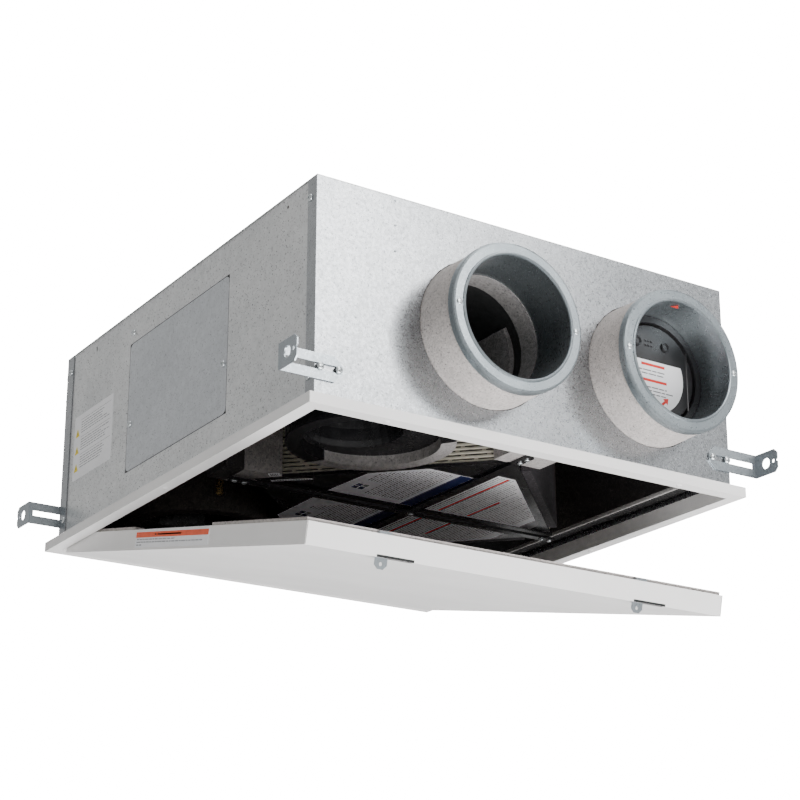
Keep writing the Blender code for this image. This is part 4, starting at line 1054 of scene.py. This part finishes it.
def make_door_details():
    """Sticker on the door's left rim, and the dark seams at its front corners."""
    door = door_matrix()
    place = door @ axes((DOOR_SIDE, 0.087, DOOR_LOW + 0.0026), (0, -1, 0), (0, 0, 1))
    marks = [(rounded(0.0012, 0.0108, 0.1748, 0.0168, 0.0004), 1)]
    marks.append((rectangle(0.055, 0.0130, 0.112, 0.0146), 4))
    marks.append((rectangle(0.048, 0.0130, 0.052, 0.0146), 4))
    for n, (top, end) in enumerate(((0.0094, 0.120), (0.0064, 0.166), (0.0034, 0.020))):
        marks += text_lines(0.004, end, top, 1.0, 1, 0.0013, 3, 3 + n)
    materials = [PAPER, INK_ORANGE, INK_YELLOW, INK_FAINT, INK_GREY]
    label("door_label", "door", place, rounded(0, 0, *DOOR_STICKER, 0.0012), marks, materials)
    bm = bmesh.new()
    for side in (-1, 1):
        x = side * 0.2531
        box_low = Vector((min(x, x + side * 0.0005), DOOR_FRONT - 0.00006, DOOR_LOW + 0.0006))
        box_high = Vector((max(x, x + side * 0.0005), DOOR_FRONT + 0.0002, DOOR_HIGH))
        add_box(bm, box_low, box_high)
    bmesh.ops.transform(bm, matrix=door, verts=bm.verts)
    piece("door_corner_seams", bm, [SEAM_AND_SHADE_DARK], "door")


def make_stage():
    """A pale floor, well below the unit."""
    bm = bmesh.new()
    steps = 24
    half = 9.0
    loops = []
    for n in range(steps + 1):
        x = -half + 2 * half * n / steps
        loops.append([bm.verts.new((x, -half + 2 * half * m / steps, FLOOR_Z)) for m in range(steps + 1)])
    for one, two in zip(loops, loops[1:]):
        for m in range(steps):
            bm.faces.new((one[m], two[m], two[m + 1], one[m + 1]))
    mesh = bpy.data.meshes.new("floor")
    bm.to_mesh(mesh)
    bm.free()
    mesh.materials.append(plain("floor_pale", (0.80, 0.80, 0.80), 0.7, 0.02, 2.0))
    floor = bpy.data.objects.new("floor", mesh)
    bpy.context.scene.collection.objects.link(floor)


def area_light(name, place, target, size, power):
    light = bpy.data.lights.new(name, "AREA")
    light.shape = "RECTANGLE"
    light.size, light.size_y = size
    light.energy = power
    made = bpy.data.objects.new(name, light)
    made.location = place
    made.rotation_euler = (Vector(target) - Vector(place)).to_track_quat("-Z", "Y").to_euler()
    made.visible_camera = False
    bpy.context.scene.collection.objects.link(made)


def make_light():
    """A soft world, darker on the left, a white backdrop for the camera alone, and area lights."""
    world = bpy.data.worlds.new("studio")
    bpy.context.scene.world = world
    world.use_nodes = True
    tree = world.node_tree
    output = tree.nodes["World Output"]
    soft = tree.nodes["Background"]
    soft.inputs["Strength"].default_value = 1.0
    coordinates = tree.nodes.new("ShaderNodeTexCoord")
    split = tree.nodes.new("ShaderNodeSeparateXYZ")
    tree.links.new(coordinates.outputs["Generated"], split.inputs["Vector"])
    side = remap(tree, split.outputs["X"], -1.0, 1.0)
    tree.links.new(tint(tree, side, WORLD_LEFT, WORLD_RIGHT), soft.inputs["Color"])
    seen = tree.nodes.new("ShaderNodeBackground")
    seen.inputs["Color"].default_value = (1.0, 1.0, 1.0, 1.0)
    seen.inputs["Strength"].default_value = BACKDROP_STRENGTH
    path = tree.nodes.new("ShaderNodeLightPath")
    mix = tree.nodes.new("ShaderNodeMixShader")
    tree.links.new(path.outputs["Is Camera Ray"], mix.inputs[0])
    tree.links.new(soft.outputs["Background"], mix.inputs[1])
    tree.links.new(seen.outputs["Background"], mix.inputs[2])
    tree.links.new(mix.outputs["Shader"], output.inputs["Surface"])
    for light in LIGHTS:
        area_light(*light)


def make_camera():
    """The camera that the main view is taken with."""
    camera = bpy.data.cameras.new("camera")
    camera.lens = CAMERA_LENS
    camera.sensor_width = 36.0
    camera.shift_y = CAMERA_SHIFT
    made = bpy.data.objects.new("camera", camera)
    made.location = CAMERA_PLACE
    flat = math.cos(CAMERA_PITCH)
    look = Vector((math.sin(CAMERA_HEADING) * flat, math.cos(CAMERA_HEADING) * flat, math.sin(CAMERA_PITCH)))
    made.rotation_euler = look.to_track_quat("-Z", "Y").to_euler()
    bpy.context.scene.collection.objects.link(made)
    bpy.context.scene.camera = made


finish_nodes()
make_screws()
make_panel_marks()
make_side_label()
make_core_labels()
make_core()
make_damper_details()
make_door_details()
make_edge_trims()
make_ports()
make_throats()
make_core_sheen()
make_slot_shades()
make_stage()
make_light()
make_camera()
